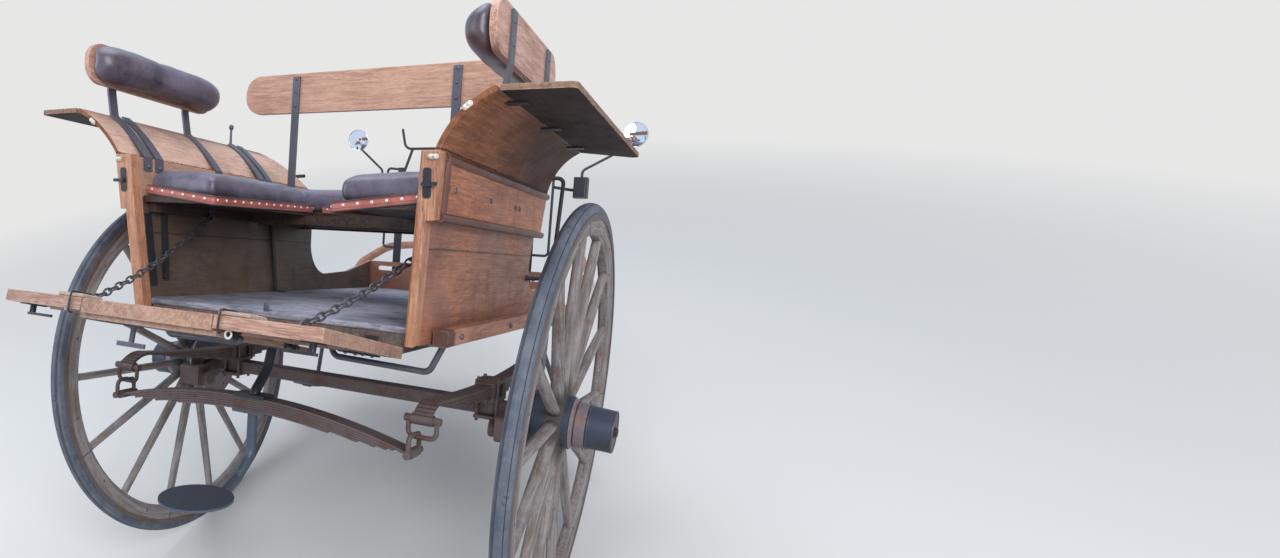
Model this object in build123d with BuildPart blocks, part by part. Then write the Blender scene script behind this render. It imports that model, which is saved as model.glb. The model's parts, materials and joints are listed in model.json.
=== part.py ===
"""Two-wheeled country cart for one horse, standing on its wheels and its shaft tips.

The cart is drawn level, X forward, Y to the left and Z up, with the axle over the
origin, and each finished piece is then tipped forward onto its shaft tips.
"""
import os
from math import asin, atan2, cos, degrees, hypot, radians, sin, sqrt, tan

from build123d import *

# Running gear
wheel_radius = 680.0
tyre_crown = 25.0
tyre_width = 42.0
tyre_depth = 37.0
band_thickness = 7.0
band_lip = 4.0
felloe_depth = 52.0
felloe_width = 42.0
spoke_count = 14
spoke_dish = 21.0
camber = 3.2
track_half = 756.0
hub_inner = -111.0
hub_outer = 149.0
hub_radius = 82.0
arm_radius = 24.0
arm_clearance = 0.1
axle_bar = 48.0
axle_shoulder_y = track_half - 152.0
disc_radius = 140.0
disc_thickness = 8.0
disc_y = track_half - 122.0

# Springs
leaf = 9.0
leaf_lap = 0.5
spring_y = track_half - 241.0
spring_width = 50.0
spring_rise = 22.0
side_leaf_halves = (500.0, 405.0, 310.0, 220.0, 130.0)
eye_x = 585.0
eye_z = 752.0
eye_radius = 15.0
cross_x = -605.0
cross_end_y = spring_y - 13.0
cross_end_z = 668.0
cross_drop = 66.0
cross_leaf = 6.5
cross_leaf_cuts = (32.0, 46.0, 66.0, 100.0, 150.0, 240.0)

clip_half = 39.0

# Body
sill_bottom = 934.0
floor_top = 980.0
floor_thickness = 20.0
body_rear = -600.0
dash_x = 1040.0
dash_top = 1118.0
dash_thickness = 18.0
wall_top = 1426.0
waist_z = 1257.0
wall_half = 479.0
wall_spread = 0.0774
wall_thickness = 18.0
waist_proud = 22.0
rear_lean = 0.112
post_depth = 45.0
bead_radius = 12.0
bench_top = 1305.0
bench_thickness = 20.0
bench_inner_y = 205.0
bench_rear_x = -580.0
cushion_thickness = 66.0
cushion_clear = 0.3
front_bench_x = 45.0
front_bench_depth = 400.0

# Flared top boards and wings
flare_top_y = 678.0
flare_top_z = 1567.0
flare_thickness = 13.0
wing_gap = 8.0
wing_outer_y = 855.0
wing_thickness = 14.0

# Tailboard and its door
tail_thickness = 30.0
tail_clear = 5.0
tail_top = 478.0
tail_foot = -4.0
tail_open = 73.0
hinge_s = -16.0
hinge_n = 24.0
pin_radius = 5.0
pin_clearance = 0.05
knuckle_radius = 9.0
doorway_half = 205.0
doorway_sill = 100.0
door_leaf = 12.0
door_foot = 38.0
door_short = 14.0
door_axis_n = -14.0
door_hinges_s = (150.0, 400.0)
handle_y = 122.0
handle_s = 372.0
handle_stem = 52.0
chain_tail_y = 335.0
chain_tail_s = 325.0
chain_wall = (-285.0, 446.0, 1262.0)
chain_sag = 18.0

# Shafts
shaft_radius = 21.0
tip_radius = shaft_radius - 1.0
SHAFT_POINTS = (
    # x, y, z, bend radius of the swept front half
    (900.0, 577.0, 967.0, 0.0),
    (1040.0, 588.0, 975.0, 90.0),
    (1115.0, 562.0, 1105.0, 110.0),
    (1330.0, 508.0, 1200.0, 420.0),
    (1800.0, 430.0, 1232.0, 1500.0),
    (2800.0, 335.0, 1050.0, 0.0),
)

# Side of the square blocks that trim one piece at another's level
cutter_size = 3000.0

os.makedirs("parts", exist_ok=True)
pieces = {}


def across(y):
    """Upright plane along the cart at this y: local x is X, local y is Z, facing right."""
    return Plane(origin=(0, y, 0), x_dir=(1, 0, 0), z_dir=(0, -1, 0))


def facing_back(x):
    """Upright plane across the cart: local x is Y, local y is Z, facing forward."""
    return Plane(origin=(x, 0, 0), x_dir=(0, 1, 0), z_dir=(1, 0, 0))


def keep(name, part):
    """File one finished piece under its own name."""
    part.label = name
    pieces[name] = part


def keep_pair(name, part):
    """File a left piece and its mirror image on the right."""
    keep(name + "_left", part)
    keep(name + "_right", mirror(part, about=Plane.XZ))


def wall_y(z):
    """Outer face of the lower side wall at a height."""
    return wall_half + (z - sill_bottom) * wall_spread


def rod(points, bends, radius):
    """A round bar along straight runs joined by arcs."""
    with BuildPart() as bar:
        with BuildLine() as path:
            if any(bends):
                FilletPolyline(*points, radius=list(bends))
            else:
                Polyline(*points)
        with BuildSketch(Plane(origin=path.line @ 0, z_dir=path.line % 0)):
            Circle(radius)
        sweep()
    return bar.part


# Wheel, drawn about its own axis with Z outward
rim_radius = wheel_radius - tyre_depth
felloe_outer = rim_radius - band_thickness
felloe_inner = felloe_outer - felloe_depth
spoke_plane = -spoke_dish

with BuildPart() as tyre:
    with BuildSketch(Plane.XZ) as tyre_section:
        with BuildLine():
            half = tyre_width / 2
            shoulder = wheel_radius - tyre_crown + sqrt(tyre_crown**2 - half**2)
            Line((rim_radius, -half), (shoulder, -half))
            ThreePointArc((shoulder, -half), (wheel_radius, 0), (shoulder, half))
            Line((shoulder, half), (rim_radius, half))
            Line((rim_radius, half), (rim_radius, -half))
        make_face()
    revolve(axis=Axis.Z)

with BuildPart() as wheel_band:
    with BuildSketch(Plane.XZ):
        with Locations((felloe_outer + band_thickness / 2, 0)):
            Rectangle(band_thickness, tyre_width + 2 * band_lip)
        for side in (-1, 1):
            with Locations((felloe_outer + band_thickness, side * (tyre_width + band_lip) / 2)):
                Rectangle(2 * band_thickness, band_lip)
    revolve(axis=Axis.Z)

spoke_foot = hub_radius - 12
spoke_tip = felloe_inner + 6
with BuildPart() as spoke:
    for reach, offset, deep, broad in (
        # distance out, along the axle, half depth, half breadth
        (spoke_foot, spoke_plane, 21.0, 14.0),
        (spoke_tip, 0.0, 15.0, 12.5),
    ):
        with BuildSketch(Plane(origin=(reach, 0, offset), x_dir=(0, 0, 1), z_dir=(1, 0, 0))):
            Ellipse(deep, broad)
    loft()

with BuildPart() as felloes:
    with BuildSketch(Plane.XZ):
        with Locations(((felloe_outer + felloe_inner) / 2, 0)):
            Rectangle(felloe_depth, felloe_width)
        chamfer(vertices().group_by(Axis.X)[0], 10)
    revolve(axis=Axis.Z)
    with BuildSketch(Plane.XY.offset(spoke_plane - 24)):
        Circle(hub_radius + 4)
    extrude(amount=48)
    with PolarLocations(0, spoke_count):
        add(spoke.part)
    with BuildSketch(Plane.XY.offset(spoke_plane - 24)):
        Circle(hub_radius - 16)
    extrude(amount=48, mode=Mode.SUBTRACT)

HUB_OUTLINE = (
    # distance along the axle from the wheel's plane, radius
    (hub_inner, 60.0),
    (hub_inner, 74.0),
    (hub_inner + 14, hub_radius),
    (spoke_plane - 24.2, hub_radius),
    (spoke_plane - 24.2, hub_radius - 16.2),
    (spoke_plane + 24.2, hub_radius - 16.2),
    (spoke_plane + 24.2, hub_radius),
    (spoke_plane + 44, hub_radius),
    (spoke_plane + 60, hub_radius - 12),
    (hub_outer - 76, hub_radius - 14),
    (hub_outer - 74, 66.0),
    (hub_outer, 64.0),
    (hub_outer, 0.0),
)
bore_radius = arm_radius + arm_clearance
arm_end = hub_outer - 12
with BuildPart() as hub:
    with BuildSketch(Plane.XZ):
        with BuildLine():
            outline = [(radius, along) for along, radius in HUB_OUTLINE]
            Polyline(
                (bore_radius, hub_inner),
                *outline,
                (0, arm_end + 4),
                (bore_radius, arm_end + 4),
                close=True,
            )
        make_face()
    revolve(axis=Axis.Z)
    disc_face = disc_y - track_half + disc_thickness / 2
    with BuildSketch(Plane.XY.offset(disc_face)):
        Circle(disc_radius)
        Circle(arm_radius + 12, mode=Mode.SUBTRACT)
        with PolarLocations(disc_radius - 28, 12):
            Circle(6, mode=Mode.SUBTRACT)
    extrude(amount=-disc_thickness)
    with BuildSketch(Plane.XY.offset(disc_face)):
        Circle(60)
        Circle(arm_radius + 12, mode=Mode.SUBTRACT)
    extrude(amount=hub_inner - disc_face)

# The wheels lean out at the top: the wheel's Z axis points outward and a little down
hub_height = (wheel_radius - tyre_crown) * cos(radians(camber)) + tyre_crown
wheel_seat = Plane(
    origin=(0, track_half, hub_height),
    x_dir=(1, 0, 0),
    z_dir=(0, cos(radians(camber)), -sin(radians(camber))),
)
for wheel_name, wheel_part in (
    ("tyre", tyre),
    ("wheel_band", wheel_band),
    ("felloes_and_spokes", felloes),
    ("hub", hub),
):
    keep_pair(wheel_name, wheel_seat.location * wheel_part.part)

# Axle: a square bar between two round arms that follow the wheels' lean
bar_drop = (track_half - axle_shoulder_y) * tan(radians(camber))
axle_z = hub_height + bar_drop
with BuildPart() as axle:
    with BuildSketch(facing_back(-axle_bar / 2)):
        with Locations((0, axle_z)):
            Rectangle(2 * axle_shoulder_y, axle_bar)
    extrude(amount=axle_bar)
    chamfer(edges().filter_by(Axis.Y), 5)
    with BuildSketch(wheel_seat.offset(axle_shoulder_y - track_half - 8)):
        Circle(arm_radius)
    extrude(amount=arm_end - (axle_shoulder_y - track_half - 8))
    mirror(about=Plane.XZ)
keep("axle", axle.part)

# Side springs: five leaves, highest at their ends, rolled down to an eye
top_leaf_z = axle_z + axle_bar / 2 + 12 + leaf * len(side_leaf_halves) - leaf / 2
sweep_radius = side_leaf_halves[0] ** 2 / (2 * spring_rise)
sweep_centre = top_leaf_z + sweep_radius


def on_sweep(x, row):
    """Height of a leaf's middle line at x, row counted down from the top leaf."""
    radius = sweep_radius + row * leaf
    return sweep_centre - sqrt(radius**2 - x**2)


with BuildPart() as side_spring:
    for row, reach in enumerate(side_leaf_halves):
        with BuildSketch(across(spring_y + spring_width / 2)):
            with BuildLine():
                ThreePointArc(
                    (-reach, on_sweep(reach, row)),
                    (0, on_sweep(0, row)),
                    (reach, on_sweep(reach, row)),
                )
            trace(line_width=leaf + leaf_lap)
        extrude(amount=spring_width)
    for end in (-1, 1):
        crest = on_sweep(side_leaf_halves[0], 0)
        with BuildSketch(across(spring_y + spring_width / 2)):
            with BuildLine():
                ThreePointArc(
                    (end * side_leaf_halves[0], crest),
                    (end * (eye_x - 28), crest - 4),
                    (end * (eye_x + 2), eye_z + eye_radius - 3),
                )
            trace(line_width=leaf + leaf_lap)
        extrude(amount=spring_width)
        with BuildSketch(across(spring_y + spring_width / 2 + 4)):
            with Locations((end * eye_x, eye_z)):
                Circle(eye_radius)
        extrude(amount=spring_width + 8)
    with BuildSketch(across(spring_y + spring_width / 2 + 7)):
        for clip_x in (-62, 62):
            with Locations((clip_x, top_leaf_z - leaf * 2)):
                Rectangle(22, leaf * 5 + 14)
    extrude(amount=spring_width + 14)
keep_pair("side_spring", side_spring.part)

with BuildPart() as axle_block:
    with BuildSketch(across(spring_y + clip_half)):
        with Locations((0, axle_z + axle_bar / 2 + 6)):
            Rectangle(96, 11.4)
        with Locations((0, axle_z - axle_bar / 2 - 5.2)):
            Rectangle(96, 10)
        with Locations((0, top_leaf_z + leaf / 2 + 5.6)):
            Rectangle(96, 10)
    extrude(amount=2 * clip_half)
    for bolt_x in (-34, 34):
        for bolt_y in (spring_y - clip_half + 7, spring_y + clip_half - 7):
            with BuildSketch(Plane.XY.offset(axle_z - axle_bar / 2 - 20)):
                with Locations((bolt_x, bolt_y)):
                    Circle(6)
            extrude(amount=top_leaf_z + leaf / 2 + 18 - axle_z + axle_bar / 2 + 20)
    mirror(about=Plane.XZ)
keep("axle_clips", axle_block.part)

# Cross spring behind the axle: an arched pack of leaves under the rear sill
arch_radius = cross_end_y**2 / (2 * cross_drop)
arch_top = cross_end_z + cross_drop
arch_centre = arch_top - arch_radius


def on_arch(y, row):
    """Height of a leaf's middle line at y, row counted down from the top leaf."""
    radius = arch_radius - row * cross_leaf
    return arch_centre + sqrt(radius**2 - y**2)


with BuildPart() as cross_spring:
    for row, cut in enumerate(cross_leaf_cuts):
        reach = cross_end_y - cut
        with BuildSketch(facing_back(cross_x - spring_width / 2)):
            with BuildLine():
                ThreePointArc(
                    (-reach, on_arch(reach, row)),
                    (0, on_arch(0, row)),
                    (reach, on_arch(reach, row)),
                )
            trace(line_width=cross_leaf + leaf_lap)
        extrude(amount=spring_width)
    for end in (-1, 1):
        start = cross_end_y - cross_leaf_cuts[0]
        with BuildSketch(facing_back(cross_x - spring_width / 2)):
            with BuildLine():
                Line((end * start, on_arch(start, 0)), (end * (cross_end_y - 2), cross_end_z - 2))
            trace(line_width=cross_leaf + leaf_lap)
            with Locations((end * cross_end_y, cross_end_z)):
                Circle(eye_radius - 2)
        extrude(amount=spring_width)
keep("cross_spring", cross_spring.part)

cross_foot = arch_top - cross_leaf * (len(cross_leaf_cuts) - 0.5) - 1.5

# Shackles: a stirrup on the side spring's eye linked to one on the cross spring's eye
link = 6.5
side_pin_half = spring_width / 2 + 14
cross_pin_half = spring_width / 2 + 10
link_z = (eye_z + cross_end_z) / 2
with BuildPart() as shackle:
    add(rod(
        (
            (-eye_x, spring_y - side_pin_half, eye_z),
            (-eye_x, spring_y - side_pin_half, link_z - 5),
            (-eye_x, spring_y + side_pin_half, link_z - 5),
            (-eye_x, spring_y + side_pin_half, eye_z),
        ),
        (18, 18),
        link,
    ))
    add(rod(
        (
            (cross_x - cross_pin_half, cross_end_y, cross_end_z),
            (cross_x - cross_pin_half, cross_end_y, link_z + 5),
            (cross_x + cross_pin_half, cross_end_y, link_z + 5),
            (cross_x + cross_pin_half, cross_end_y, cross_end_z),
        ),
        (18, 18),
        link,
    ))
    for side in (-1, 1):
        with BuildSketch(across(spring_y + side * side_pin_half + link + 4)):
            with Locations((-eye_x, eye_z)):
                Circle(10)
        extrude(amount=2 * link + 8)
        with BuildSketch(facing_back(cross_x + side * cross_pin_half - link - 4)):
            with Locations((cross_end_y, cross_end_z)):
                Circle(10)
        extrude(amount=2 * link + 8)
    with BuildSketch(across(spring_y + spring_width / 2 + 4.2)):
        with Locations((-eye_x, eye_z)):
            Circle(eye_radius + 20)
    extrude(amount=spring_width + 8.4, mode=Mode.SUBTRACT)
    with BuildSketch(facing_back(cross_x - spring_width / 2 - 0.2)):
        with Locations((cross_end_y, cross_end_z - 6)):
            Circle(eye_radius + 6)
    extrude(amount=spring_width + 0.4, mode=Mode.SUBTRACT)
    mirror(about=Plane.XZ)
keep("shackles", shackle.part)

# Brake calliper on a bracket behind each disc
calliper_x = -112.0
calliper_z = 652.0
with BuildPart() as calliper:
    with BuildSketch(across(disc_y + 34)):
        with Locations((calliper_x, calliper_z)):
            RectangleRounded(92, 78, 14)
    extrude(amount=88)
    with BuildSketch(across(disc_y + disc_thickness / 2 + 5)):
        with Locations((calliper_x + 34, calliper_z)):
            Rectangle(142, 80)
    extrude(amount=disc_thickness + 10, mode=Mode.SUBTRACT)
    with BuildSketch(across(disc_y + 60)):
        with Locations((0, hub_height)):
            Circle(hub_radius + 10)
    extrude(amount=60, mode=Mode.SUBTRACT)
    with BuildSketch(across(disc_y - 54)):
        with Locations((calliper_x, calliper_z - 6)):
            Circle(28)
    extrude(amount=26)
    with BuildSketch(across(axle_shoulder_y - 4)):
        with BuildLine():
            Polyline(
                (calliper_x - 30, calliper_z - 30),
                (calliper_x - 30, calliper_z + 30),
                (-axle_bar / 2 - 0.2, axle_z + 20),
                (-axle_bar / 2 - 0.2, axle_z - 20),
                close=True,
            )
        make_face()
    extrude(amount=12)
    mirror(about=Plane.XZ)
keep("brake_callipers", calliper.part)

# Floor boards, laid across, with a rounded nose at the back
floor_half = wall_y(floor_top - floor_thickness) - wall_thickness - 1.0
floor_rear = body_rear + tail_thickness + tail_clear
board_width = 140.0
with BuildPart() as floor_boards:
    with BuildSketch(Plane.XY.offset(floor_top - floor_thickness)):
        with Locations(((floor_rear + dash_x) / 2, 0)):
            Rectangle(dash_x - floor_rear, 2 * floor_half)
    extrude(amount=floor_thickness)
    fillet(edges().filter_by(Axis.Y).group_by(Axis.X)[0], 8)
    with BuildSketch(Plane.XY.offset(floor_top)):
        with Locations((floor_rear, floor_half), (floor_rear, -floor_half)):
            Rectangle(30, 30)
    extrude(amount=-floor_thickness, mode=Mode.SUBTRACT)
    groove_count = int((dash_x - floor_rear) / board_width)
    with BuildSketch(Plane.XY.offset(floor_top)):
        for groove in range(1, groove_count + 1):
            with Locations((floor_rear + groove * board_width, 0)):
                Rectangle(3, 2 * floor_half)
    extrude(amount=-4, mode=Mode.SUBTRACT)
keep("floor_boards", floor_boards.part)

# Under frame: two long sills and three cross bearers
frame_top = floor_top - floor_thickness
sill_y = 412.0
sill_width = 54.0
sill_depth = 50.0
with BuildPart() as under_frame:
    with BuildSketch(Plane.XY.offset(frame_top - sill_depth)):
        for side in (-1, 1):
            with Locations(((floor_rear + dash_x) / 2, side * sill_y)):
                Rectangle(dash_x - floor_rear, sill_width)
        for bearer_x in (-300, 240, dash_x - 27):
            with Locations((bearer_x, 0)):
                Rectangle(54, 2 * sill_y)
    extrude(amount=sill_depth)
    with BuildSketch(Plane.XY.offset(sill_bottom - 16)):
        with Locations((floor_rear + 27, 0)):
            Rectangle(54, 2 * sill_y)
    extrude(amount=frame_top - sill_bottom + 16)
keep("under_frame", under_frame.part)

# Side walls: upright boards behind, cut down in a curve to a low sill in front
post_front = body_rear + post_depth


def lean_x(z):
    """How far back the leaning rear end lies at a height."""
    return -(z - sill_bottom) * rear_lean


wall_tilt = Plane(
    origin=(0, wall_half, sill_bottom),
    x_dir=(1, 0, 0),
    z_dir=(0, -1, wall_spread),
)
stretch = hypot(1, wall_spread)


with BuildPart() as above_walls:
    with BuildSketch(Plane.XY.offset(wall_top)):
        Rectangle(cutter_size, cutter_size)
    extrude(amount=waist_proud * 4)


def up_wall(z):
    """Distance up the leaning wall to a height."""
    return (z - sill_bottom) * stretch


WALL_FRONT = (
    # x, z of the front edge, from the top down to the low sill
    (478.0, wall_top),
    (452.0, 1180.0),
    (490.0, 1085.0),
    (580.0, 1050.0),
    (800.0, 1062.0),
)
with BuildPart() as side_wall:
    with BuildSketch(wall_tilt):
        with BuildLine():
            front_points = [(x, up_wall(z)) for x, z in WALL_FRONT]
            top_front, bend_start, bend_mid, bend_end, low_mid = front_points
            Polyline(
                (post_front, 0),
                (post_front + lean_x(wall_top), up_wall(wall_top)),
                top_front,
                bend_start,
            )
            ThreePointArc(bend_start, bend_mid, bend_end)
            Polyline(
                bend_end,
                low_mid,
                (dash_x + dash_thickness, up_wall(dash_top)),
                (dash_x + dash_thickness, 0),
                (post_front, 0),
            )
        make_face()
    extrude(amount=wall_thickness)
    add(above_walls.part, mode=Mode.SUBTRACT)
keep_pair("side_wall", side_wall.part)

# Waist panels stand proud of the walls, framed with half-round beads
waist_base = wall_y(waist_z)
waist_plane = Plane(
    origin=(0, wall_half + waist_proud, sill_bottom),
    x_dir=(1, 0, 0),
    z_dir=(0, -1, wall_spread),
)
waist_rear = body_rear + 2
with BuildPart() as waist_panel:
    with BuildSketch(waist_plane):
        with BuildLine():
            Polyline(
                (post_front + lean_x(waist_z), up_wall(waist_z)),
                (post_front + lean_x(wall_top), up_wall(wall_top)),
                (WALL_FRONT[0][0], up_wall(wall_top)),
                (WALL_FRONT[0][0] - 16, up_wall(waist_z)),
                close=True,
            )
        make_face()
    extrude(amount=waist_proud - 0.2)
    for bead_z in (waist_z + bead_radius, wall_top - bead_radius):
        rear_x = post_front + lean_x(bead_z)
        bead_y = wall_y(bead_z) + waist_proud
        with BuildSketch(facing_back(rear_x)):
            with Locations((bead_y, bead_z)):
                Circle(bead_radius)
        extrude(amount=WALL_FRONT[0][0] - 4 - rear_x)
    add(rod(
        (
            (post_front + lean_x(waist_z) + bead_radius, wall_y(waist_z) + waist_proud,
             waist_z + bead_radius),
            (post_front + lean_x(wall_top) + bead_radius, wall_y(wall_top) + waist_proud,
             wall_top - bead_radius),
        ),
        (),
        bead_radius,
    ))
    add(side_wall.part, mode=Mode.SUBTRACT)
    add(above_walls.part, mode=Mode.SUBTRACT)
keep_pair("waist_panel", waist_panel.part)

# Corner posts lean back and outward, with a step where the waist panel ends
rear_length = hypot(1, rear_lean)
rear_plane = Plane(
    origin=(body_rear, 0, sill_bottom),
    x_dir=(0, 1, 0),
    z_dir=(1, 0, rear_lean),
)


def up_rear(z):
    """Distance up the leaning rear plane to a height."""
    return (z - sill_bottom) * rear_length


post_inner_foot = 452.0
post_inner_top = 487.0
with BuildPart() as corner_post:
    with BuildSketch(rear_plane):
        with BuildLine():
            Polyline(
                (post_inner_foot, 0),
                (wall_half, 0),
                (wall_y(waist_z), up_rear(waist_z)),
                (wall_y(waist_z) + waist_proud, up_rear(waist_z)),
                (wall_y(wall_top) + waist_proud, up_rear(wall_top)),
                (post_inner_top, up_rear(wall_top)),
                close=True,
            )
        make_face()
    extrude(amount=post_depth - 0.2)
    inner_edge = edges().filter_by(lambda e: e.length > 400).sort_by(Axis.Y)[0:2].sort_by(Axis.X)[0]
    chamfer(inner_edge, 9)
    add(side_wall.part, mode=Mode.SUBTRACT)
    add(waist_panel.part, mode=Mode.SUBTRACT)
    add(above_walls.part, mode=Mode.SUBTRACT)
    mirror(about=Plane.XZ)
keep("corner_posts", corner_post.part)

# Dash board across the front of the low foot well, with a hand slot at each side
dash_half = wall_half - wall_thickness - 1
with BuildPart() as dash_board:
    with BuildSketch(facing_back(dash_x + 0.2)):
        with BuildLine():
            Polyline(
                (-dash_half, sill_bottom),
                (-wall_y(dash_top) + wall_thickness + 1, dash_top),
                (wall_y(dash_top) - wall_thickness - 1, dash_top),
                (dash_half, sill_bottom),
                close=True,
            )
        make_face()
        with Locations((-370, dash_top - 34), (370, dash_top - 34)):
            SlotOverall(120, 22, mode=Mode.SUBTRACT)
    extrude(amount=dash_thickness - 0.4)
keep("dash_board", dash_board.part)

# Turn latches on the rear faces of the posts hold the tailboard when it is shut
latch_z = 1348.0
latch_y = 508.0
with BuildPart() as post_latch:
    with BuildSketch(rear_plane):
        with Locations((latch_y, up_rear(latch_z))):
            RectangleRounded(22, 74, 8)
    extrude(amount=-3)
    with BuildSketch(rear_plane):
        with Locations((latch_y, up_rear(latch_z - 2))):
            Circle(6)
    extrude(amount=-15)
    with BuildSketch(rear_plane.offset(-11)):
        with Locations((latch_y + 10, up_rear(latch_z - 2))):
            SlotOverall(42, 10)
    extrude(amount=-4)
    mirror(about=Plane.XZ)
keep("post_latches", post_latch.part)

# Irons on the inner faces of the walls: a strap, a round bar and a joint bar a side, which
# stands with its foot plate just past the edge of the sixth floor board
joint_bar_x = floor_rear + 5 * board_width + 22
WALL_IRONS = (
    # x and z of the foot, x and z of the head, width, depth
    (-535.0, 1016.0, -561.0, 1249.0, 28.0, 4.0),
    (-488.0, 1036.0, -493.0, 1250.0, 17.0, 16.0),
    (joint_bar_x, floor_top + 1, 132.0, bench_top - bench_thickness - 6, 18.0, 12.0),
)
with BuildPart() as wall_iron:
    for foot_x, foot_z, head_x, head_z, broad, deep in WALL_IRONS:
        with BuildSketch(wall_tilt.offset(wall_thickness + 0.2)):
            with BuildLine() as iron_line:
                Line((foot_x, up_wall(foot_z)), (head_x, up_wall(head_z)))
            trace(line_width=broad)
        extrude(amount=deep)
        fillet(edges().filter_by(lambda e: abs(e.length - deep) < 0.1).group_by(Axis.Z)[0], broad * 0.3)
    with BuildSketch(Plane.XY.offset(floor_top + 0.2)):
        with Locations((joint_bar_x, wall_y(floor_top) - wall_thickness - 26)):
            Rectangle(34, 48)
    extrude(amount=4)
    add(side_wall.part, mode=Mode.SUBTRACT)
    mirror(about=Plane.XZ)
keep("wall_irons", wall_iron.part)

# Flared boards bend outward from the wall tops to carry the wings
flare_foot_y = wall_y(wall_top) + waist_proud
flare_rear = body_rear + lean_x(wall_top) + 2
with BuildPart() as flare_board:
    with BuildSketch(facing_back(-720)):
        with BuildLine():
            ThreePointArc(
                (flare_foot_y - 8, wall_top + 0.3),
                (flare_foot_y + 46, wall_top + 76),
                (flare_top_y, flare_top_z - 6),
            )
        trace(line_width=flare_thickness)
    extrude(amount=1300)
    with BuildSketch(across(800)):
        with BuildLine():
            Polyline(
                (flare_rear, wall_top + 0.3),
                (-690, flare_top_z + 10),
                (276, flare_top_z + 10),
                (390, wall_top + 70),
                (WALL_FRONT[0][0], wall_top + 0.3),
                close=True,
            )
        make_face()
    extrude(amount=500, mode=Mode.INTERSECT)
keep_pair("flare_board", flare_board.part)

# Wings: flat boards over the wheels, on iron straps from the flares
wing_z = flare_top_z - wing_thickness
wing_inner_y = flare_top_y + wing_gap
with BuildPart() as wing:
    with BuildSketch(Plane.XY.offset(wing_z)):
        with BuildLine():
            Polyline(
                (-690, wing_inner_y),
                (-683, wing_outer_y),
                (427, wing_outer_y + 7),
                (284, wing_inner_y),
                close=True,
            )
        make_face()
    extrude(amount=wing_thickness)
    fillet(edges().filter_by(Axis.Z).sort_by(Axis.Y)[-2:], 18)
keep_pair("wing", wing.part)

with BuildPart() as wing_strap:
    with BuildSketch(Plane.XY.offset(wing_z - 5.2)):
        for strap_x in (-560, -200, 160):
            with Locations((strap_x, flare_top_y + 12)):
                Rectangle(34, 60)
    extrude(amount=5)
    add(flare_board.part, mode=Mode.SUBTRACT)
    mirror(about=Plane.XZ)
keep("wing_straps", wing_strap.part)

# Benches along both sides and one across in front of them, on a cross bearer
bench_low = bench_top - bench_thickness
bench_outer = wall_y(bench_low) - wall_thickness - 1
with BuildPart() as side_bench:
    with BuildSketch(Plane.XY.offset(bench_low)):
        with BuildLine():
            Polyline(
                (bench_rear_x, bench_inner_y),
                (0, bench_inner_y),
                (0, bench_outer),
                (bench_rear_x, bench_outer),
                close=True,
            )
        make_face()
        fillet(vertices().group_by(Axis.Y)[0], 12)
    extrude(amount=bench_thickness)
    with BuildSketch(Plane.XY.offset(bench_low - 30)):
        with Locations(((bench_rear_x - 20) / 2, bench_outer - 19)):
            Rectangle(-bench_rear_x - 60, 30)
    extrude(amount=30)
    mirror(about=Plane.XZ)
keep("side_benches", side_bench.part)

with BuildPart() as front_bench:
    with BuildSketch(Plane.XY.offset(bench_low)):
        with Locations((front_bench_x + front_bench_depth / 2, 0)):
            Rectangle(front_bench_depth, 2 * bench_outer)
    extrude(amount=bench_thickness)
    fillet(edges().filter_by(Axis.Z).group_by(Axis.X)[-1], 30)
    for bearer_x in (front_bench_x + 20, front_bench_x + front_bench_depth - 60):
        with BuildSketch(Plane.XY.offset(bench_low - 38)):
            with Locations((bearer_x, 0)):
                Rectangle(40, 2 * bench_outer - 8)
        extrude(amount=38)
    with BuildSketch(Plane.XY.offset(bench_low - 32.2)):
        with Locations((-26, 0)):
            Rectangle(44, 2 * bench_outer - 76)
    extrude(amount=32)
keep("front_bench", front_bench.part)

# Cushions
cushion_low = bench_top + cushion_clear
with BuildPart() as side_cushion:
    with BuildSketch(Plane.XY.offset(cushion_low)):
        with Locations(((bench_rear_x + 2) / 2, (bench_inner_y + bench_outer) / 2)):
            Rectangle(-bench_rear_x - 4, bench_outer - bench_inner_y - 3)
    extrude(amount=cushion_thickness)
    fillet(edges().filter_by(Axis.Z), 22)
    fillet(faces().sort_by(Axis.Z)[-1].edges(), 16)
keep_pair("side_cushion", side_cushion.part)

with BuildPart() as front_cushion:
    with BuildSketch(Plane.XY.offset(cushion_low)):
        with Locations((front_bench_x + front_bench_depth / 2, 0)):
            Rectangle(front_bench_depth - 4, 2 * bench_outer - 6)
    extrude(amount=cushion_thickness)
    fillet(edges().filter_by(Axis.Z), 26)
    fillet(faces().sort_by(Axis.Z)[-1].edges(), 16)
keep("front_cushion", front_cushion.part)

# Back rail across the cart on two flat irons between the benches
rail_high = 1822.0
rail_depth = 146.0
rail_low = rail_high - rail_depth
rail_half = 556.0
iron_y = 320.0
iron_width = 30.0
iron_thickness = 8.0
iron_x = 14.0
with BuildPart() as back_rail:
    with BuildSketch(facing_back(iron_x + iron_thickness + 0.2)):
        with Locations((0, (rail_low + rail_high) / 2)):
            RectangleRounded(2 * rail_half, rail_depth, rail_depth * 0.465)
    extrude(amount=22)
keep("back_rail", back_rail.part)

with BuildPart() as back_rail_iron:
    with BuildSketch(facing_back(iron_x)):
        for side in (-1, 1):
            with Locations((side * iron_y, (bench_low - 32 + rail_high - 12) / 2)):
                Rectangle(iron_width, rail_high - 12 - bench_low + 32)
    extrude(amount=iron_thickness)
    with BuildSketch(facing_back(-4)):
        for side in (-1, 1):
            with Locations((side * iron_y, bench_low - 16)):
                Rectangle(iron_width, 26)
    extrude(amount=iron_x + 4.2)
keep("back_rail_irons", back_rail_iron.part)

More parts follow.
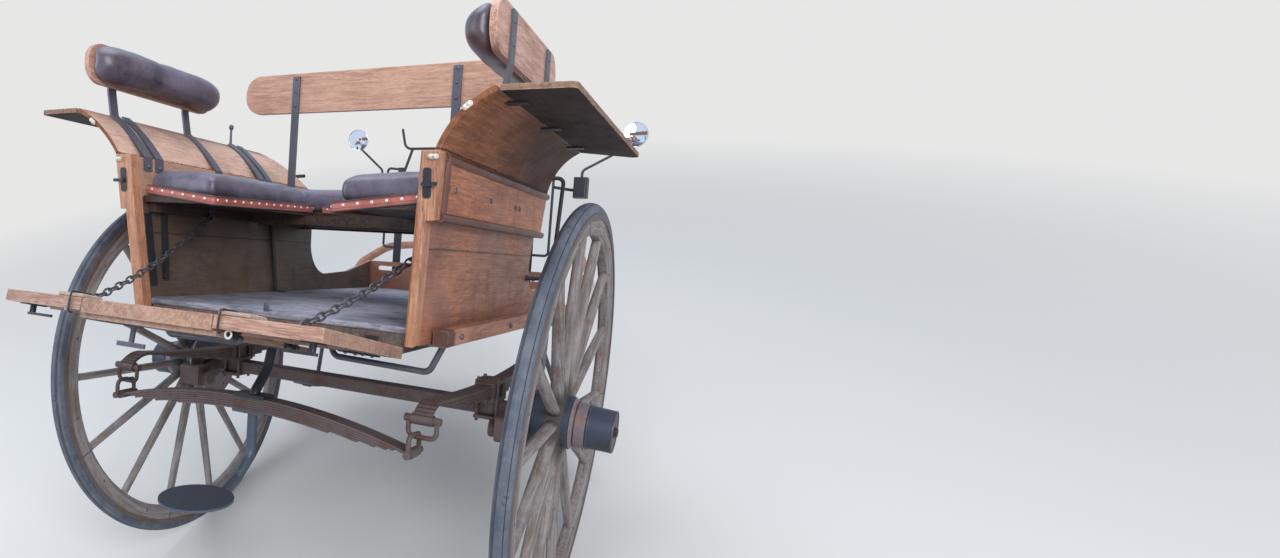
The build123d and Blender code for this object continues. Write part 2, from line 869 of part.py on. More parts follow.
# Padded arm rests above the flares: a wooden board outside, a leather pad inside
arm_rear = -680.0
arm_front = -80.0
arm_low = flare_top_z + 81.0
arm_depth = 138.0
arm_high = arm_low + arm_depth
arm_y = 648.0
arm_board_thickness = 18.0
with BuildPart() as arm_board:
    with BuildSketch(across(arm_y + arm_board_thickness)):
        with Locations(((arm_rear + arm_front) / 2, (arm_low + arm_high) / 2)):
            RectangleRounded(arm_front - arm_rear, arm_depth - 10, arm_depth * 0.42)
    extrude(amount=arm_board_thickness)
    mirror(about=Plane.XZ)
keep("arm_boards", arm_board.part)

pad_depth = 92.0
with BuildPart() as arm_pad:
    with BuildSketch(across(arm_y - 0.3)):
        with Locations(((arm_rear + arm_front) / 2, (arm_low + arm_high) / 2)):
            RectangleRounded(arm_front - arm_rear, arm_depth, arm_depth * 0.45)
    extrude(amount=pad_depth)
    fillet(faces().sort_by(Axis.Y)[0].edges(), arm_depth * 0.4)
keep_pair("arm_pad", arm_pad.part)

arm_iron_width = 34.0
ARM_IRONS = (
    # x of the iron, whether it runs on up to the arm rest
    (-560.0, True),
    (-508.0, False),
    (-200.0, True),
    (70.0, False),
    (122.0, False),
)
with BuildPart() as arm_iron:
    for arm_iron_x, reaches_up in ARM_IRONS:
        with BuildSketch(facing_back(arm_iron_x - arm_iron_width / 2)):
            with BuildLine():
                Line(
                    (wall_y(bench_top + 80) - wall_thickness - 4, bench_top + 80),
                    (wall_y(wall_top) - wall_thickness - 4, wall_top),
                )
            trace(line_width=6)
            with BuildLine():
                ThreePointArc(
                    (wall_y(wall_top) - wall_thickness - 4, wall_top),
                    (flare_foot_y + 36.5, wall_top + 82),
                    (flare_top_y - 22, flare_top_z + 1),
                )
            trace(line_width=6)
            if reaches_up:
                with BuildLine():
                    Line((flare_top_y - 25, flare_top_z - 4), (arm_y + 22, arm_low - 4))
                    Line((arm_y + 22, arm_low - 4), (arm_y + 22, arm_high - 14))
                trace(line_width=7)
        extrude(amount=arm_iron_width)
    add(flare_board.part, mode=Mode.SUBTRACT)
    add(side_wall.part, mode=Mode.SUBTRACT)
    add(arm_board.part, mode=Mode.SUBTRACT)
    mirror(about=Plane.XZ)
keep("arm_irons", arm_iron.part)

# Shafts: a squared rear half bolted along the body, then a bent round front half
shaft_rear = (-490.0, 512.0, 951.0)
shaft_joint = SHAFT_POINTS[0][:3]
shaft_aim = Vector(*shaft_joint) - Vector(*shaft_rear)
with BuildPart() as shaft:
    with BuildSketch(Plane(origin=shaft_rear, x_dir=(0, 1, 0), z_dir=shaft_aim.normalized())):
        RectangleRounded(44, 46, 8)
    extrude(amount=shaft_aim.length + 60)
    add(rod(
        [point[:3] for point in SHAFT_POINTS],
        [point[3] for point in SHAFT_POINTS[1:-1]],
        shaft_radius,
    ))
    with Locations(SHAFT_POINTS[-1][:3]):
        Sphere(tip_radius)
    add(side_wall.part, mode=Mode.SUBTRACT)
keep_pair("shaft", shaft.part)

# Shaft irons: brackets that carry the shaft and hang the springs' front eyes
hanger_x = eye_x
with BuildPart() as spring_hanger:
    for cheek_y in (spring_y - spring_width / 2 - 13, spring_y + spring_width / 2 + 5):
        with BuildSketch(across(cheek_y + 8)):
            with BuildLine():
                Polyline(
                    (hanger_x - 20, eye_z - 14),
                    (hanger_x - 46, 926),
                    (hanger_x + 46, 926),
                    (hanger_x + 20, eye_z - 14),
                    close=True,
                )
            make_face()
        extrude(amount=8)
    with BuildSketch(Plane.XY.offset(918)):
        with Locations((hanger_x, spring_y - 20)):
            Rectangle(110, 150)
    extrude(amount=8)
    with BuildSketch(across(spring_y + spring_width / 2 + 14)):
        with Locations((hanger_x, eye_z)):
            Circle(7)
    extrude(amount=spring_width + 28)
    add(side_spring.part, mode=Mode.SUBTRACT)
    add(shaft.part, mode=Mode.SUBTRACT)
    add(side_wall.part, mode=Mode.SUBTRACT)
    add(under_frame.part, mode=Mode.SUBTRACT)
    mirror(about=Plane.XZ)
keep("spring_hangers", spring_hanger.part)

# Loop irons under the rear corners
with BuildPart() as loop_iron:
    add(rod(
        (
            (-450, 150, sill_bottom - 26),
            (-450, 170, 858),
            (-450, 470, 850),
            (-450, 506, sill_bottom - 8),
        ),
        (26, 26),
        9,
    ))
    with BuildSketch(Plane.XY.offset(sill_bottom - 8)):
        with Locations((-450, 478)):
            Rectangle(60, 90)
    extrude(amount=7)
    with BuildSketch(Plane.XY.offset(sill_bottom - 26)):
        with Locations((-450, 150)):
            Rectangle(44, 60)
    extrude(amount=8)
    with BuildSketch(Plane.XY.offset(sill_bottom - 20)):
        with Locations((-376, 150)):
            Rectangle(150, 30)
    extrude(amount=-6)
    add(under_frame.part, mode=Mode.SUBTRACT)
    add(shaft.part, mode=Mode.SUBTRACT)
    add(side_wall.part, mode=Mode.SUBTRACT)
    mirror(about=Plane.XZ)
keep("loop_irons", loop_iron.part)

# Tube from the rear sill through the cross spring down to the round rear step
step_x = -838.0
step_z = 506.0
step_radius = 98.0
tube_radius = 15.0
with BuildPart() as spring_post:
    add(rod(
        (
            (cross_x + 94, 0, sill_bottom - 20),
            (cross_x + 62, 0, arch_top + 72),
            (cross_x, 0, arch_top + 10),
            (cross_x, 0, arch_top - 60),
        ),
        (90, 40),
        tube_radius,
    ))
    with BuildSketch(Plane.XY.offset(sill_bottom - 24)):
        with Locations((cross_x + 84, 0)):
            Rectangle(88, 90)
    extrude(amount=8)
    with BuildSketch(Plane.XY.offset(arch_top - 4)):
        with Locations((cross_x, 0)):
            Rectangle(spring_width + 4, 104)
    extrude(amount=4 + cross_leaf / 2 + 7)
    with BuildSketch(Plane.XY.offset(arch_top)):
        Rectangle(cutter_size, cutter_size)
    extrude(amount=-cutter_size / 10, mode=Mode.SUBTRACT)
    add(cross_spring.part, mode=Mode.SUBTRACT)
    add(under_frame.part, mode=Mode.SUBTRACT)
keep("spring_post", spring_post.part)

with BuildPart() as rear_step:
    add(rod(
        (
            (cross_x, 0, cross_foot + 20),
            (cross_x, 0, step_z + 60),
            (cross_x - 60, 0, step_z + 6),
            (cross_x - 120, 0, step_z - 22),
            (step_x, 0, step_z - 18),
        ),
        (50, 40, 30),
        tube_radius,
    ))
    with BuildSketch(Plane.XY.offset(step_z - 6)):
        with Locations((step_x, 0)):
            Circle(step_radius)
    extrude(amount=6)
    with BuildSketch(Plane.XY.offset(cross_foot)):
        Rectangle(cutter_size, cutter_size)
    extrude(amount=cutter_size / 10, mode=Mode.SUBTRACT)
    with BuildSketch(Plane.XY.offset(cross_foot + 1.5)):
        with Locations((cross_x, 0)):
            Rectangle(spring_width + 4, 110)
    extrude(amount=-9)
    add(cross_spring.part, mode=Mode.SUBTRACT)
keep("rear_step", rear_step.part)

# Mounting steps in front of the wheels
front_step_z = 486.0
with BuildPart() as front_step:
    add(rod(
        (
            (700, 440, sill_bottom - 24),
            (700, 520, 800),
            (790, 600, front_step_z + 60),
            (800, 640, front_step_z - 14),
            (800, 690, front_step_z - 12),
        ),
        (50, 60, 24),
        10,
    ))
    with BuildSketch(Plane.XY.offset(front_step_z - 5)):
        with Locations((800, 650)):
            RectangleRounded(110, 180, 50)
    extrude(amount=6)
    with BuildSketch(Plane.XY.offset(frame_top - sill_depth - 8)):
        with Locations((700, 430)):
            Rectangle(90, 70)
    extrude(amount=8)
    add(under_frame.part, mode=Mode.SUBTRACT)
    mirror(about=Plane.XZ)
keep("front_steps", front_step.part)

# Dash irons: two flat stanchions with grab bows, and the rein rail across their tops
stanchion_x = dash_x + dash_thickness
stanchion_y = 335.0
rail_z = 1697.0
stanchion_top = 1600.0
hook_half = 362.0
hook_top = 1800.0
with BuildPart() as dash_irons:
    for side in (-1, 1):
        with BuildSketch(facing_back(stanchion_x)):
            with Locations((side * stanchion_y, (floor_top + stanchion_top) / 2)):
                Rectangle(40, stanchion_top - floor_top)
        extrude(amount=8)
        add(rod(
            (
                (stanchion_x + 8, side * stanchion_y, 1195),
                (stanchion_x + 22, side * 423, 1195),
                (stanchion_x + 22, side * 423, stanchion_top),
                (stanchion_x + 8, side * stanchion_y, stanchion_top - 10),
            ),
            (18, 18),
            6,
        ))
        add(rod(
            (
                (stanchion_x + 4, side * 322, stanchion_top - 20),
                (stanchion_x + 20, side * 290, rail_z + 2),
            ),
            (),
            7,
        ))
    add(rod(
        (
            (stanchion_x + 40, -hook_half, hook_top),
            (stanchion_x + 20, -330, rail_z),
            (stanchion_x + 20, 330, rail_z),
            (stanchion_x + 40, hook_half, hook_top),
        ),
        (44, 44),
        6.5,
    ))
keep("dash_irons", dash_irons.part)

# Driving mirrors on a clamped box outboard of the grab bows
box_x = 1215.0
box_y = 522.0
box_z = 1512.0
mirror_x = 1320.0
mirror_y = 733.0
mirror_z = 1786.0
with BuildPart() as mirror_arm:
    add(rod(
        (
            (stanchion_x + 22, 430, box_z),
            (box_x - 40, 470, box_z),
            (box_x, box_y - 20, box_z),
        ),
        (30,),
        7,
    ))
    with BuildSketch(Plane.XY.offset(box_z - 36)):
        with Locations((box_x, box_y)):
            RectangleRounded(66, 62, 10)
    extrude(amount=96)
    add(rod(
        (
            (box_x, box_y, box_z + 48),
            (box_x + 4, box_y, box_z + 94),
            (mirror_x + 4, mirror_y - 17, mirror_z - 48),
        ),
        (30,),
        6,
    ))
    add(dash_irons.part, mode=Mode.SUBTRACT)
    mirror(about=Plane.XZ)
keep("mirror_arms", mirror_arm.part)

glass_aim = Vector(-1.0, -0.25, -0.12).normalized()
mirror_plane = Plane(origin=(mirror_x, mirror_y, mirror_z), z_dir=glass_aim)
with BuildPart() as mirror_head:
    with BuildSketch(mirror_plane):
        Circle(58)
    extrude(amount=8)
    with BuildSketch(mirror_plane):
        Circle(58)
    with BuildSketch(mirror_plane.offset(-24)):
        Circle(30)
    loft()
    add(mirror_arm.part, mode=Mode.SUBTRACT)
    mirror(about=Plane.XZ)
keep("mirrors", mirror_head.part)

# Grab rails outside the front edges of the walls
with BuildPart() as grab_rail:
    add(rod(
        (
            (440, wall_y(1400) + 14, 1400 + 84),
            (462, 600, 1400 + 84),
            (462, 580, 1104),
            (430, wall_y(1104) - 4, 1104),
        ),
        (20, 20),
        7.5,
    ))
    add(side_wall.part, mode=Mode.SUBTRACT)
    add(waist_panel.part, mode=Mode.SUBTRACT)
    add(flare_board.part, mode=Mode.SUBTRACT)
    mirror(about=Plane.XZ)
keep("grab_rails", grab_rail.part)

# Tailboard, drawn shut between the posts and then laid open on its hinge line
hinge_point = rear_plane.from_local_coords(Vector(0, hinge_s, hinge_n))
hinge_x = hinge_point.X
hinge_z = hinge_point.Z
tail_hinge = Axis((hinge_x, 0, hinge_z), (0, 1, 0))
post_slope = (post_inner_top - post_inner_foot) / up_rear(wall_top)


def tail_half(s):
    """Half the tailboard's width at a distance up the rear plane."""
    return post_inner_foot + s * post_slope - tail_clear


with BuildPart() as tailboard:
    with BuildSketch(rear_plane):
        with BuildLine():
            Polyline(
                (-tail_half(tail_foot), tail_foot),
                (-tail_half(tail_top), tail_top),
                (-doorway_half, tail_top),
                (-doorway_half, doorway_sill),
                (doorway_half, doorway_sill),
                (doorway_half, tail_top),
                (tail_half(tail_top), tail_top),
                (tail_half(tail_foot), tail_foot),
                close=True,
            )
        make_face()
    extrude(amount=tail_thickness)
    for side in (-1, 1):
        with BuildSketch(rear_plane):
            with BuildLine():
                Polyline(
                    (side * (doorway_half + 38), 24),
                    (side * (doorway_half + 38), tail_top - 4),
                    (side * (tail_half(tail_top) - 78), tail_top - 4),
                    (side * (tail_half(24) - 78), 24),
                    close=True,
                )
            make_face()
        extrude(amount=5, mode=Mode.SUBTRACT)
        for bead_s in (tail_top - 62, tail_top - 190):
            with BuildSketch(rear_plane):
                with Locations((side * (doorway_half + 104), bead_s)):
                    Rectangle(122, 22)
            extrude(amount=6, both=True)
keep("tailboard", tailboard.part.rotate(tail_hinge, -tail_open))

strap_y = 345.0
lever_y = 432.0
lever_s = 428.0
with BuildPart() as tail_strap:
    for side in (-1, 1):
        for cheek in (-30, 30):
            with BuildSketch(across(side * strap_y + cheek + 9)):
                with Locations((hinge_x, hinge_z)):
                    Circle(knuckle_radius)
            extrude(amount=18)
            with BuildSketch(rear_plane.offset(hinge_n - knuckle_radius)):
                with Locations((side * strap_y + cheek, (hinge_s + tail_foot) / 2)):
                    Rectangle(18, tail_foot - hinge_s)
            extrude(amount=8)
    for side in (-1, 1):
        with BuildSketch(rear_plane):
            with Locations((side * strap_y, 42)):
                Rectangle(78, 88)
        extrude(amount=-4)
        with BuildSketch(across(side * strap_y + 39)):
            with BuildLine():
                Polyline(
                    tuple(rear_plane.from_local_coords(Vector(0, tail_foot + 4, -4)))[::2],
                    tuple(rear_plane.from_local_coords(Vector(0, tail_foot - 4, -4)))[::2],
                    tuple(rear_plane.from_local_coords(Vector(0, tail_foot - 4, 20)))[::2],
                    tuple(rear_plane.from_local_coords(Vector(0, tail_foot, 20)))[::2],
                    tuple(rear_plane.from_local_coords(Vector(0, tail_foot, 0)))[::2],
                    tuple(rear_plane.from_local_coords(Vector(0, tail_foot + 4, 0)))[::2],
                    close=True,
                )
            make_face()
        extrude(amount=78)
    for side in (-1, 1):
        with BuildSketch(rear_plane):
            with Locations((side * lever_y, lever_s)):
                RectangleRounded(36, 64, 8)
        extrude(amount=-3)
        with BuildSketch(rear_plane):
            with Locations((side * lever_y, lever_s)):
                Circle(8)
        extrude(amount=-28)
        with BuildSketch(rear_plane.offset(-21)):
            with Locations((side * (lever_y - 30), lever_s)):
                SlotOverall(88, 15)
        extrude(amount=-7)
    with Locations((hinge_x, strap_y, hinge_z), (hinge_x, -strap_y, hinge_z)):
        Cylinder(knuckle_radius + 2, 42, rotation=(90, 0, 0), mode=Mode.SUBTRACT)
        Cylinder(pin_radius + pin_clearance, 90, rotation=(90, 0, 0), mode=Mode.SUBTRACT)
keep("tailboard_straps", tail_strap.part.rotate(tail_hinge, -tail_open))

with BuildPart() as tail_pin:
    for side in (-1, 1):
        with BuildSketch(across(side * strap_y + 42)):
            with Locations((hinge_x, hinge_z)):
                Circle(pin_radius)
        extrude(amount=84)
        with BuildSketch(across(side * strap_y + 20)):
            with Locations((hinge_x, hinge_z)):
                Circle(knuckle_radius)
            with Locations(((hinge_x + floor_rear) / 2, hinge_z - 4)):
                Rectangle(floor_rear - hinge_x, 8)
            with Locations((floor_rear - 2, hinge_z + 8)):
                Rectangle(3.6, 40)
        extrude(amount=40)
keep("tailboard_hinge_leaves", tail_pin.part)

# Door in the tailboard, hung on two hinges on its right edge and opening outward
door_axis_y = -doorway_half - 3
door_gap = 5.0
door_back = door_gap + door_leaf
door_knuckle = 7.0
door_pin = 4.0
hinge_half = 30.0


def across_rear(s):
    """Plane square to the rear plane's rise: local x is Y, local y points outward."""
    return Plane(
        origin=rear_plane.from_local_coords(Vector(0, s, 0)),
        x_dir=(0, 1, 0),
        z_dir=rear_plane.y_dir,
    )


with BuildPart() as door:
    with BuildSketch(rear_plane.offset(-door_gap)):
        with Locations((0, (doorway_sill + door_gap + tail_top) / 2)):
            Rectangle(2 * (doorway_half - door_gap), tail_top - doorway_sill - door_gap)
    extrude(amount=door_gap + tail_thickness)
    with BuildSketch(rear_plane.offset(-door_back)):
        with Locations((5, (door_foot + tail_top - door_short) / 2)):
            Rectangle(2 * doorway_half + 10, tail_top - door_short - door_foot)
        fillet(vertices().sort_by(Axis.Y)[0:2], 30)
    extrude(amount=door_leaf)
    fillet(edges().filter_by(lambda e: abs(e.length - door_leaf) < 0.1), 3)
    for hinge_at in door_hinges_s:
        with BuildSketch(across_rear(hinge_at - hinge_half - 1)):
            with Locations((door_axis_y, -door_axis_n)):
                Circle(door_knuckle + 2)
        extrude(amount=2 * hinge_half + 2, mode=Mode.SUBTRACT)
keep("door", door.part.rotate(tail_hinge, -tail_open))

with BuildPart() as door_hinge:
    for hinge_at in door_hinges_s:
        with BuildSketch(across_rear(hinge_at - hinge_half)):
            with Locations((door_axis_y, -door_axis_n)):
                Circle(door_pin)
        extrude(amount=2 * hinge_half)
        with BuildSketch(across_rear(hinge_at - 10)):
            with Locations((door_axis_y, -door_axis_n)):
                Circle(door_knuckle)
            with Locations((door_axis_y - 4, 5)):
                Rectangle(6, 10)
            with Locations((door_axis_y - 16, 1.5)):
                Rectangle(30, 3)
        extrude(amount=20)
keep("door_hinge_pins", door_hinge.part.rotate(tail_hinge, -tail_open))

with BuildPart() as door_iron:
    for hinge_at in door_hinges_s:
        for knuckle_s in (hinge_at - hinge_half, hinge_at + 11):
            with BuildSketch(across_rear(knuckle_s)):
                with Locations((door_axis_y, -door_axis_n)):
                    Circle(door_knuckle)
                with Locations((door_axis_y + 28, door_back + 1.5)):
                    Rectangle(66, 3)
                with Locations((door_axis_y - 1, door_back - 1)):
                    Rectangle(8, 8)
                with Locations((door_axis_y, -door_axis_n)):
                    Circle(door_pin + pin_clearance, mode=Mode.SUBTRACT)
            extrude(amount=hinge_half - 11)
    with BuildSketch(rear_plane.offset(-door_back)):
        with Locations((doorway_half - 16, tail_top - 72)):
            Rectangle(44, 96)
    extrude(amount=-3)
    with BuildSketch(rear_plane.offset(-door_back)):
        with Locations((handle_y, handle_s)):
            Circle(24)
    extrude(amount=-6)
    with BuildSketch(rear_plane.offset(-door_back)):
        with Locations((handle_y, handle_s)):
            Circle(7)
    extrude(amount=-handle_stem)
    with BuildSketch(rear_plane.offset(-door_back - handle_stem + 9)):
        with Locations((handle_y, handle_s)):
            SlotOverall(92, 15)
    extrude(amount=-12)
door_hinge_line = Axis(
    tuple(rear_plane.from_local_coords(Vector(door_axis_y, 0, door_axis_n))),
    tuple(rear_plane.y_dir),
)
keep("door_irons", door_iron.part.rotate(tail_hinge, -tail_open))

# Stay chains from the walls to the open tailboard
with BuildPart() as chain:
    tail_end = rear_plane.from_local_coords(Vector(chain_tail_y, chain_tail_s, tail_thickness + 8))
    tail_end = Vertex(*tail_end).rotate(tail_hinge, -tail_open).center()
    wall_end = Vector(*chain_wall)
    with BuildLine() as chain_path:
        middle = (tail_end + wall_end) * 0.5 - Vector(0, 0, chain_sag)
        ThreePointArc(wall_end, middle, tail_end)
    with BuildSketch(Plane(origin=chain_path.line @ 0, z_dir=chain_path.line % 0)):
        Rectangle(13, 13)
    sweep()
    mirror(about=Plane.XZ)
keep("stay_chains", chain.part)

# Tip the cart forward until its shaft tips stand on the ground beside the wheels' line
tip_x, _, tip_z = SHAFT_POINTS[-1][:3]
tip_reach = hypot(tip_x, tip_z - hub_height)
tip_angle = degrees(atan2(tip_z - hub_height, tip_x) + asin((hub_height - tip_radius) / tip_reach))
tipped = Location((0, 0, 0), (0, tip_angle, 0))
placed = {name: part.moved(tipped) for name, part in pieces.items()}
boxes = [part.bounding_box() for part in placed.values()]
rear = min(box.min.X for box in boxes)
front = max(box.max.X for box in boxes)
lowest = min(box.min.Z for box in boxes)
parked = Location((-(rear + front) / 2, 0, -lowest)) * tipped
for name, part in pieces.items():
    export_step(part.moved(parked), os.path.join("parts", name + ".step"))
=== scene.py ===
"""Looks of the horse-drawn cart. Everything is placed in the level cart's own axes
(X forward, Y left, Z up from the ground under the axle) and then tipped onto the shaft tips."""
import json
import math

import bpy
from mathutils import Matrix, Vector, noise


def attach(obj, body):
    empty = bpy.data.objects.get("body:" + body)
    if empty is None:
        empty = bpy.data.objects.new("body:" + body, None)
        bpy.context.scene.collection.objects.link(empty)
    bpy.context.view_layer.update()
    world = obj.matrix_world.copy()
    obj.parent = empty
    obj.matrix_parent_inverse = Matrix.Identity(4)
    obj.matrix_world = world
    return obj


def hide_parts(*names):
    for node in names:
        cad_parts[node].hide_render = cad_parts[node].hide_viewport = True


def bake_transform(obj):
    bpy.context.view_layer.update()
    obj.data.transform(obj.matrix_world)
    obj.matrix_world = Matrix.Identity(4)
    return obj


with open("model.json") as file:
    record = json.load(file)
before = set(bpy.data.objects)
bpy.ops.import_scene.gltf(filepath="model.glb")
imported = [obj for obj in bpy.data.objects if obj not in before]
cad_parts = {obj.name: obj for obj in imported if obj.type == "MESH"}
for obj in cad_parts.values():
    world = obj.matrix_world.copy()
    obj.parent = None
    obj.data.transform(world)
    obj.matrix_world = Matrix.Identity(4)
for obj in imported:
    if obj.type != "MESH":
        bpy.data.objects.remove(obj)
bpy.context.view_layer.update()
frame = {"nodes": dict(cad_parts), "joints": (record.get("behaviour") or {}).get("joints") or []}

# The cart's own axes and its main places, in metres
SIDES = ((1, "left"), (-1, "right"))
HUB_Z = 0.67898
HUB_Y = 0.756
CAMBER = math.radians(3.2)
SPOKES = 14
FELLOES = 7
joints = {j["name"]: j for j in frame["joints"]}
hub_axis = Vector(joints["wheel_left"]["axis"])
hub_at = Vector(joints["wheel_left"]["pos_m"])
PITCH = math.atan2(-hub_axis.x, -hub_axis.z)
nose_down = Matrix.Rotation(PITCH, 4, "Y")
PARK = Matrix.Translation(hub_at - nose_down @ Vector((0, HUB_Y, HUB_Z))) @ nose_down
UNPARK = PARK.inverted()
ACROSS = Vector((0, 1, 0))
# The walls stand out and the rear face leans back by these slopes, from the walls' foot
WALL_Y, WALL_LOW, WALL_SLOPE = 0.479, 0.934, 0.0774
REAR_X, REAR_SLOPE = -0.6, 0.112
LEAN = math.atan(REAR_SLOPE)
REAR_UP = Vector((-REAR_SLOPE, 0, 1)).normalized()
REAR_IN = Vector((1, 0, REAR_SLOPE)).normalized()
BACK = -REAR_IN
HINGE = Vector((-0.5743, 0, 0.9208))
TAIL_OPEN = math.radians(73)
# Circles that the leaves of the side and cross springs follow: height of the middle, first edge
SWEEP_CENTRE, SWEEP_START = 6.4458, 5.6773
ARCH_CENTRE, ARCH_START = -1.17512, 1.87337


def tail_point(y, s, n):
    """A point of the lowered tailboard: across, up its length, in from its outer face."""
    closed = Vector((REAR_X, 0, WALL_LOW)) + REAR_UP * s + REAR_IN * n + Vector((0, y, 0))
    return HINGE + Matrix.Rotation(-TAIL_OPEN, 3, "Y") @ (closed - HINGE)


TAIL_IN = (tail_point(0, 0, 1) - tail_point(0, 0, 0)).normalized()
TAIL_UP = (tail_point(0, 1, 0) - tail_point(0, 0, 0)).normalized()


def wall_at(z):
    """How far out the outer face of a side wall is."""
    return WALL_Y + (z - WALL_LOW) * WALL_SLOPE


def rear_at(y, z):
    """A point on the leaning rear face of the posts."""
    return Vector((REAR_X - (z - WALL_LOW) * REAR_SLOPE, y, z))


# Shader helpers
class Nodes:
    """A short hand for building the nodes of a material or of the sky."""

    def __init__(self, name, owner=None):
        self.mat = owner or bpy.data.materials.new(name)
        self.mat.use_nodes = True
        self.tree = self.mat.node_tree
        self.bsdf = self.tree.nodes.get("Principled BSDF")

    def new(self, kind, inputs=None, **settings):
        """A node with its settings and with its inputs, by name or number."""
        node = self.tree.nodes.new(kind)
        for key, value in settings.items():
            setattr(node, key, value)
        for key, value in (inputs or {}).items():
            self.put(node.inputs[key], value)
        return node

    def put(self, socket, value):
        """Links an output, or sets a number, a vector or a colour, which is a tuple."""
        if hasattr(value, "is_output"):
            self.tree.links.new(value, socket)
        else:
            socket.default_value = (*value, 1) if isinstance(value, tuple) else value

    def cart(self, extra=0.0):
        """The level cart's own coordinates, turned a further angle about Y."""
        place = self.new("ShaderNodeTexCoord").outputs["Object"]
        shift = -(Matrix.Rotation(-PITCH - extra, 3, "Y") @ PARK.translation)
        return self.new("ShaderNodeMapping", {"Vector": place, "Location": shift,
                                              "Rotation": Vector((0, -PITCH - extra, 0))}).outputs[0]

    def stretched(self, vector, grain, along, across):
        """Coordinates scaled one way along the grain and another across it."""
        scale = Vector([along if axis == grain else across for axis in "xyz"])
        return self.new("ShaderNodeMapping", {"Vector": vector, "Scale": scale}).outputs[0]

    def noise(self, vector, scale, detail=4.0, rough=0.55, distort=0.0):
        return self.new("ShaderNodeTexNoise", {"Vector": vector, "Scale": scale, "Detail": detail,
                                               "Roughness": rough, "Distortion": distort}).outputs["Fac"]

    def ramp(self, fac, *stops):
        node = self.new("ShaderNodeValToRGB", {"Fac": fac})
        e = node.color_ramp.elements
        while len(e) < len(stops):
            e.new(0.5)
        for k, (at, color) in enumerate(stops):
            e[k].position = at
            e[k].color = (*color, 1)
        return node.outputs["Color"]

    def band(self, fac, low, high, a=0.0, b=1.0):
        """Goes from a to b as fac goes from low to high, and stays there beyond."""
        return self.new("ShaderNodeMapRange", {"Value": fac, "From Min": low, "From Max": high,
                                               "To Min": a, "To Max": b}).outputs["Result"]

    def math(self, op, a, b=0.0):
        return self.new("ShaderNodeMath", {0: a, 1: b}, operation=op).outputs[0]

    def add(self, a, b):
        return self.math("ADD", a, b)

    def sub(self, a, b):
        return self.math("SUBTRACT", a, b)

    def mul(self, a, b):
        return self.math("MULTIPLY", a, b)

    def gap(self, a, b):
        return self.math("ABSOLUTE", self.sub(a, b))

    def reach(self, a, b):
        return self.math("SQRT", self.add(self.mul(a, a), self.mul(b, b)))

    def dot(self, a, b):
        return self.new("ShaderNodeVectorMath", {0: a, 1: b}, operation="DOT_PRODUCT").outputs["Value"]

    def split(self, vector):
        return self.new("ShaderNodeSeparateXYZ", {0: vector}).outputs

    def joined(self, x, y, z):
        return self.new("ShaderNodeCombineXYZ", {0: x, 1: y, 2: z}).outputs[0]

    def mix(self, fac, a, b, mode="MIX"):
        return self.new("ShaderNodeMix", {0: fac, 6: a, 7: b}, data_type="RGBA", blend_type=mode).outputs[2]

    def edges(self, radius):
        """1 on sharp edges, 0 on faces."""
        normal = self.new("ShaderNodeNewGeometry").outputs["Normal"]
        rounded = self.new("ShaderNodeBevel", {"Radius": radius}, samples=4).outputs[0]
        return self.band(self.sub(1.0, self.dot(normal, rounded)), 0.02, 0.25)

    def blend(self, fac, a, b, end):
        """Mixes two shaders for the surface of the end node."""
        mixed = self.new("ShaderNodeMixShader", {0: fac, 1: a, 2: b}).outputs[0]
        self.put(self.tree.nodes[end].inputs["Surface"], mixed)

    def bump(self, height, strength, distance):
        node = self.new("ShaderNodeBump", {"Height": height, "Strength": strength, "Distance": distance})
        self.put(self.bsdf.inputs["Normal"], node.outputs[0])

    def done(self, color, rough, metal=0.0, **extra):
        values = {"Base Color": color, "Roughness": rough, "Metallic": metal, **extra}
        for key, value in values.items():
            self.put(self.bsdf.inputs[key.replace("_", " ")], value)
        return self.mat


def shade(color, factor):
    return tuple(min(1.0, c * factor) for c in color)


# Materials
def board_color(n, at, light, mid, dark, grain, stain):
    """Soft figure, thin streaks, pores and broad dirty patches; returns colour, height and dirt."""
    figure = n.noise(n.stretched(at, grain, 1.0, 14.0), 7.0, 6.0, 0.62, 0.3)
    streak = n.noise(n.stretched(at, grain, 2.5, 70.0), 6.0, 4.0, 0.6)
    pores = n.noise(n.stretched(at, grain, 9.0, 168.0), 5.0, 2.0, 0.5)
    color = n.ramp(figure, (0.28, shade(mid, 0.72)), (0.46, mid), (0.6, light), (0.74, mid))
    color = n.mix(n.band(streak, 0.51, 0.64, 0, 0.55), color, dark)
    color = n.mix(n.band(pores, 0.58, 0.66, 0, 0.7), color, shade(dark, 0.6))
    fade = n.noise(at, 3.4, 4.0, 0.6, 0.4)
    color = n.mix(n.band(fade, 0.44, 0.66, 0, 0.45), color, shade(light, 1.1))
    blotch = n.noise(at, 8.0, 7.0, 0.68, 0.2)
    color = n.mix(n.band(blotch, 0.5, 0.7, 0, stain), color, shade(dark, 0.8))
    return color, n.add(n.mul(streak, 0.7), n.mul(pores, -0.5)), blotch


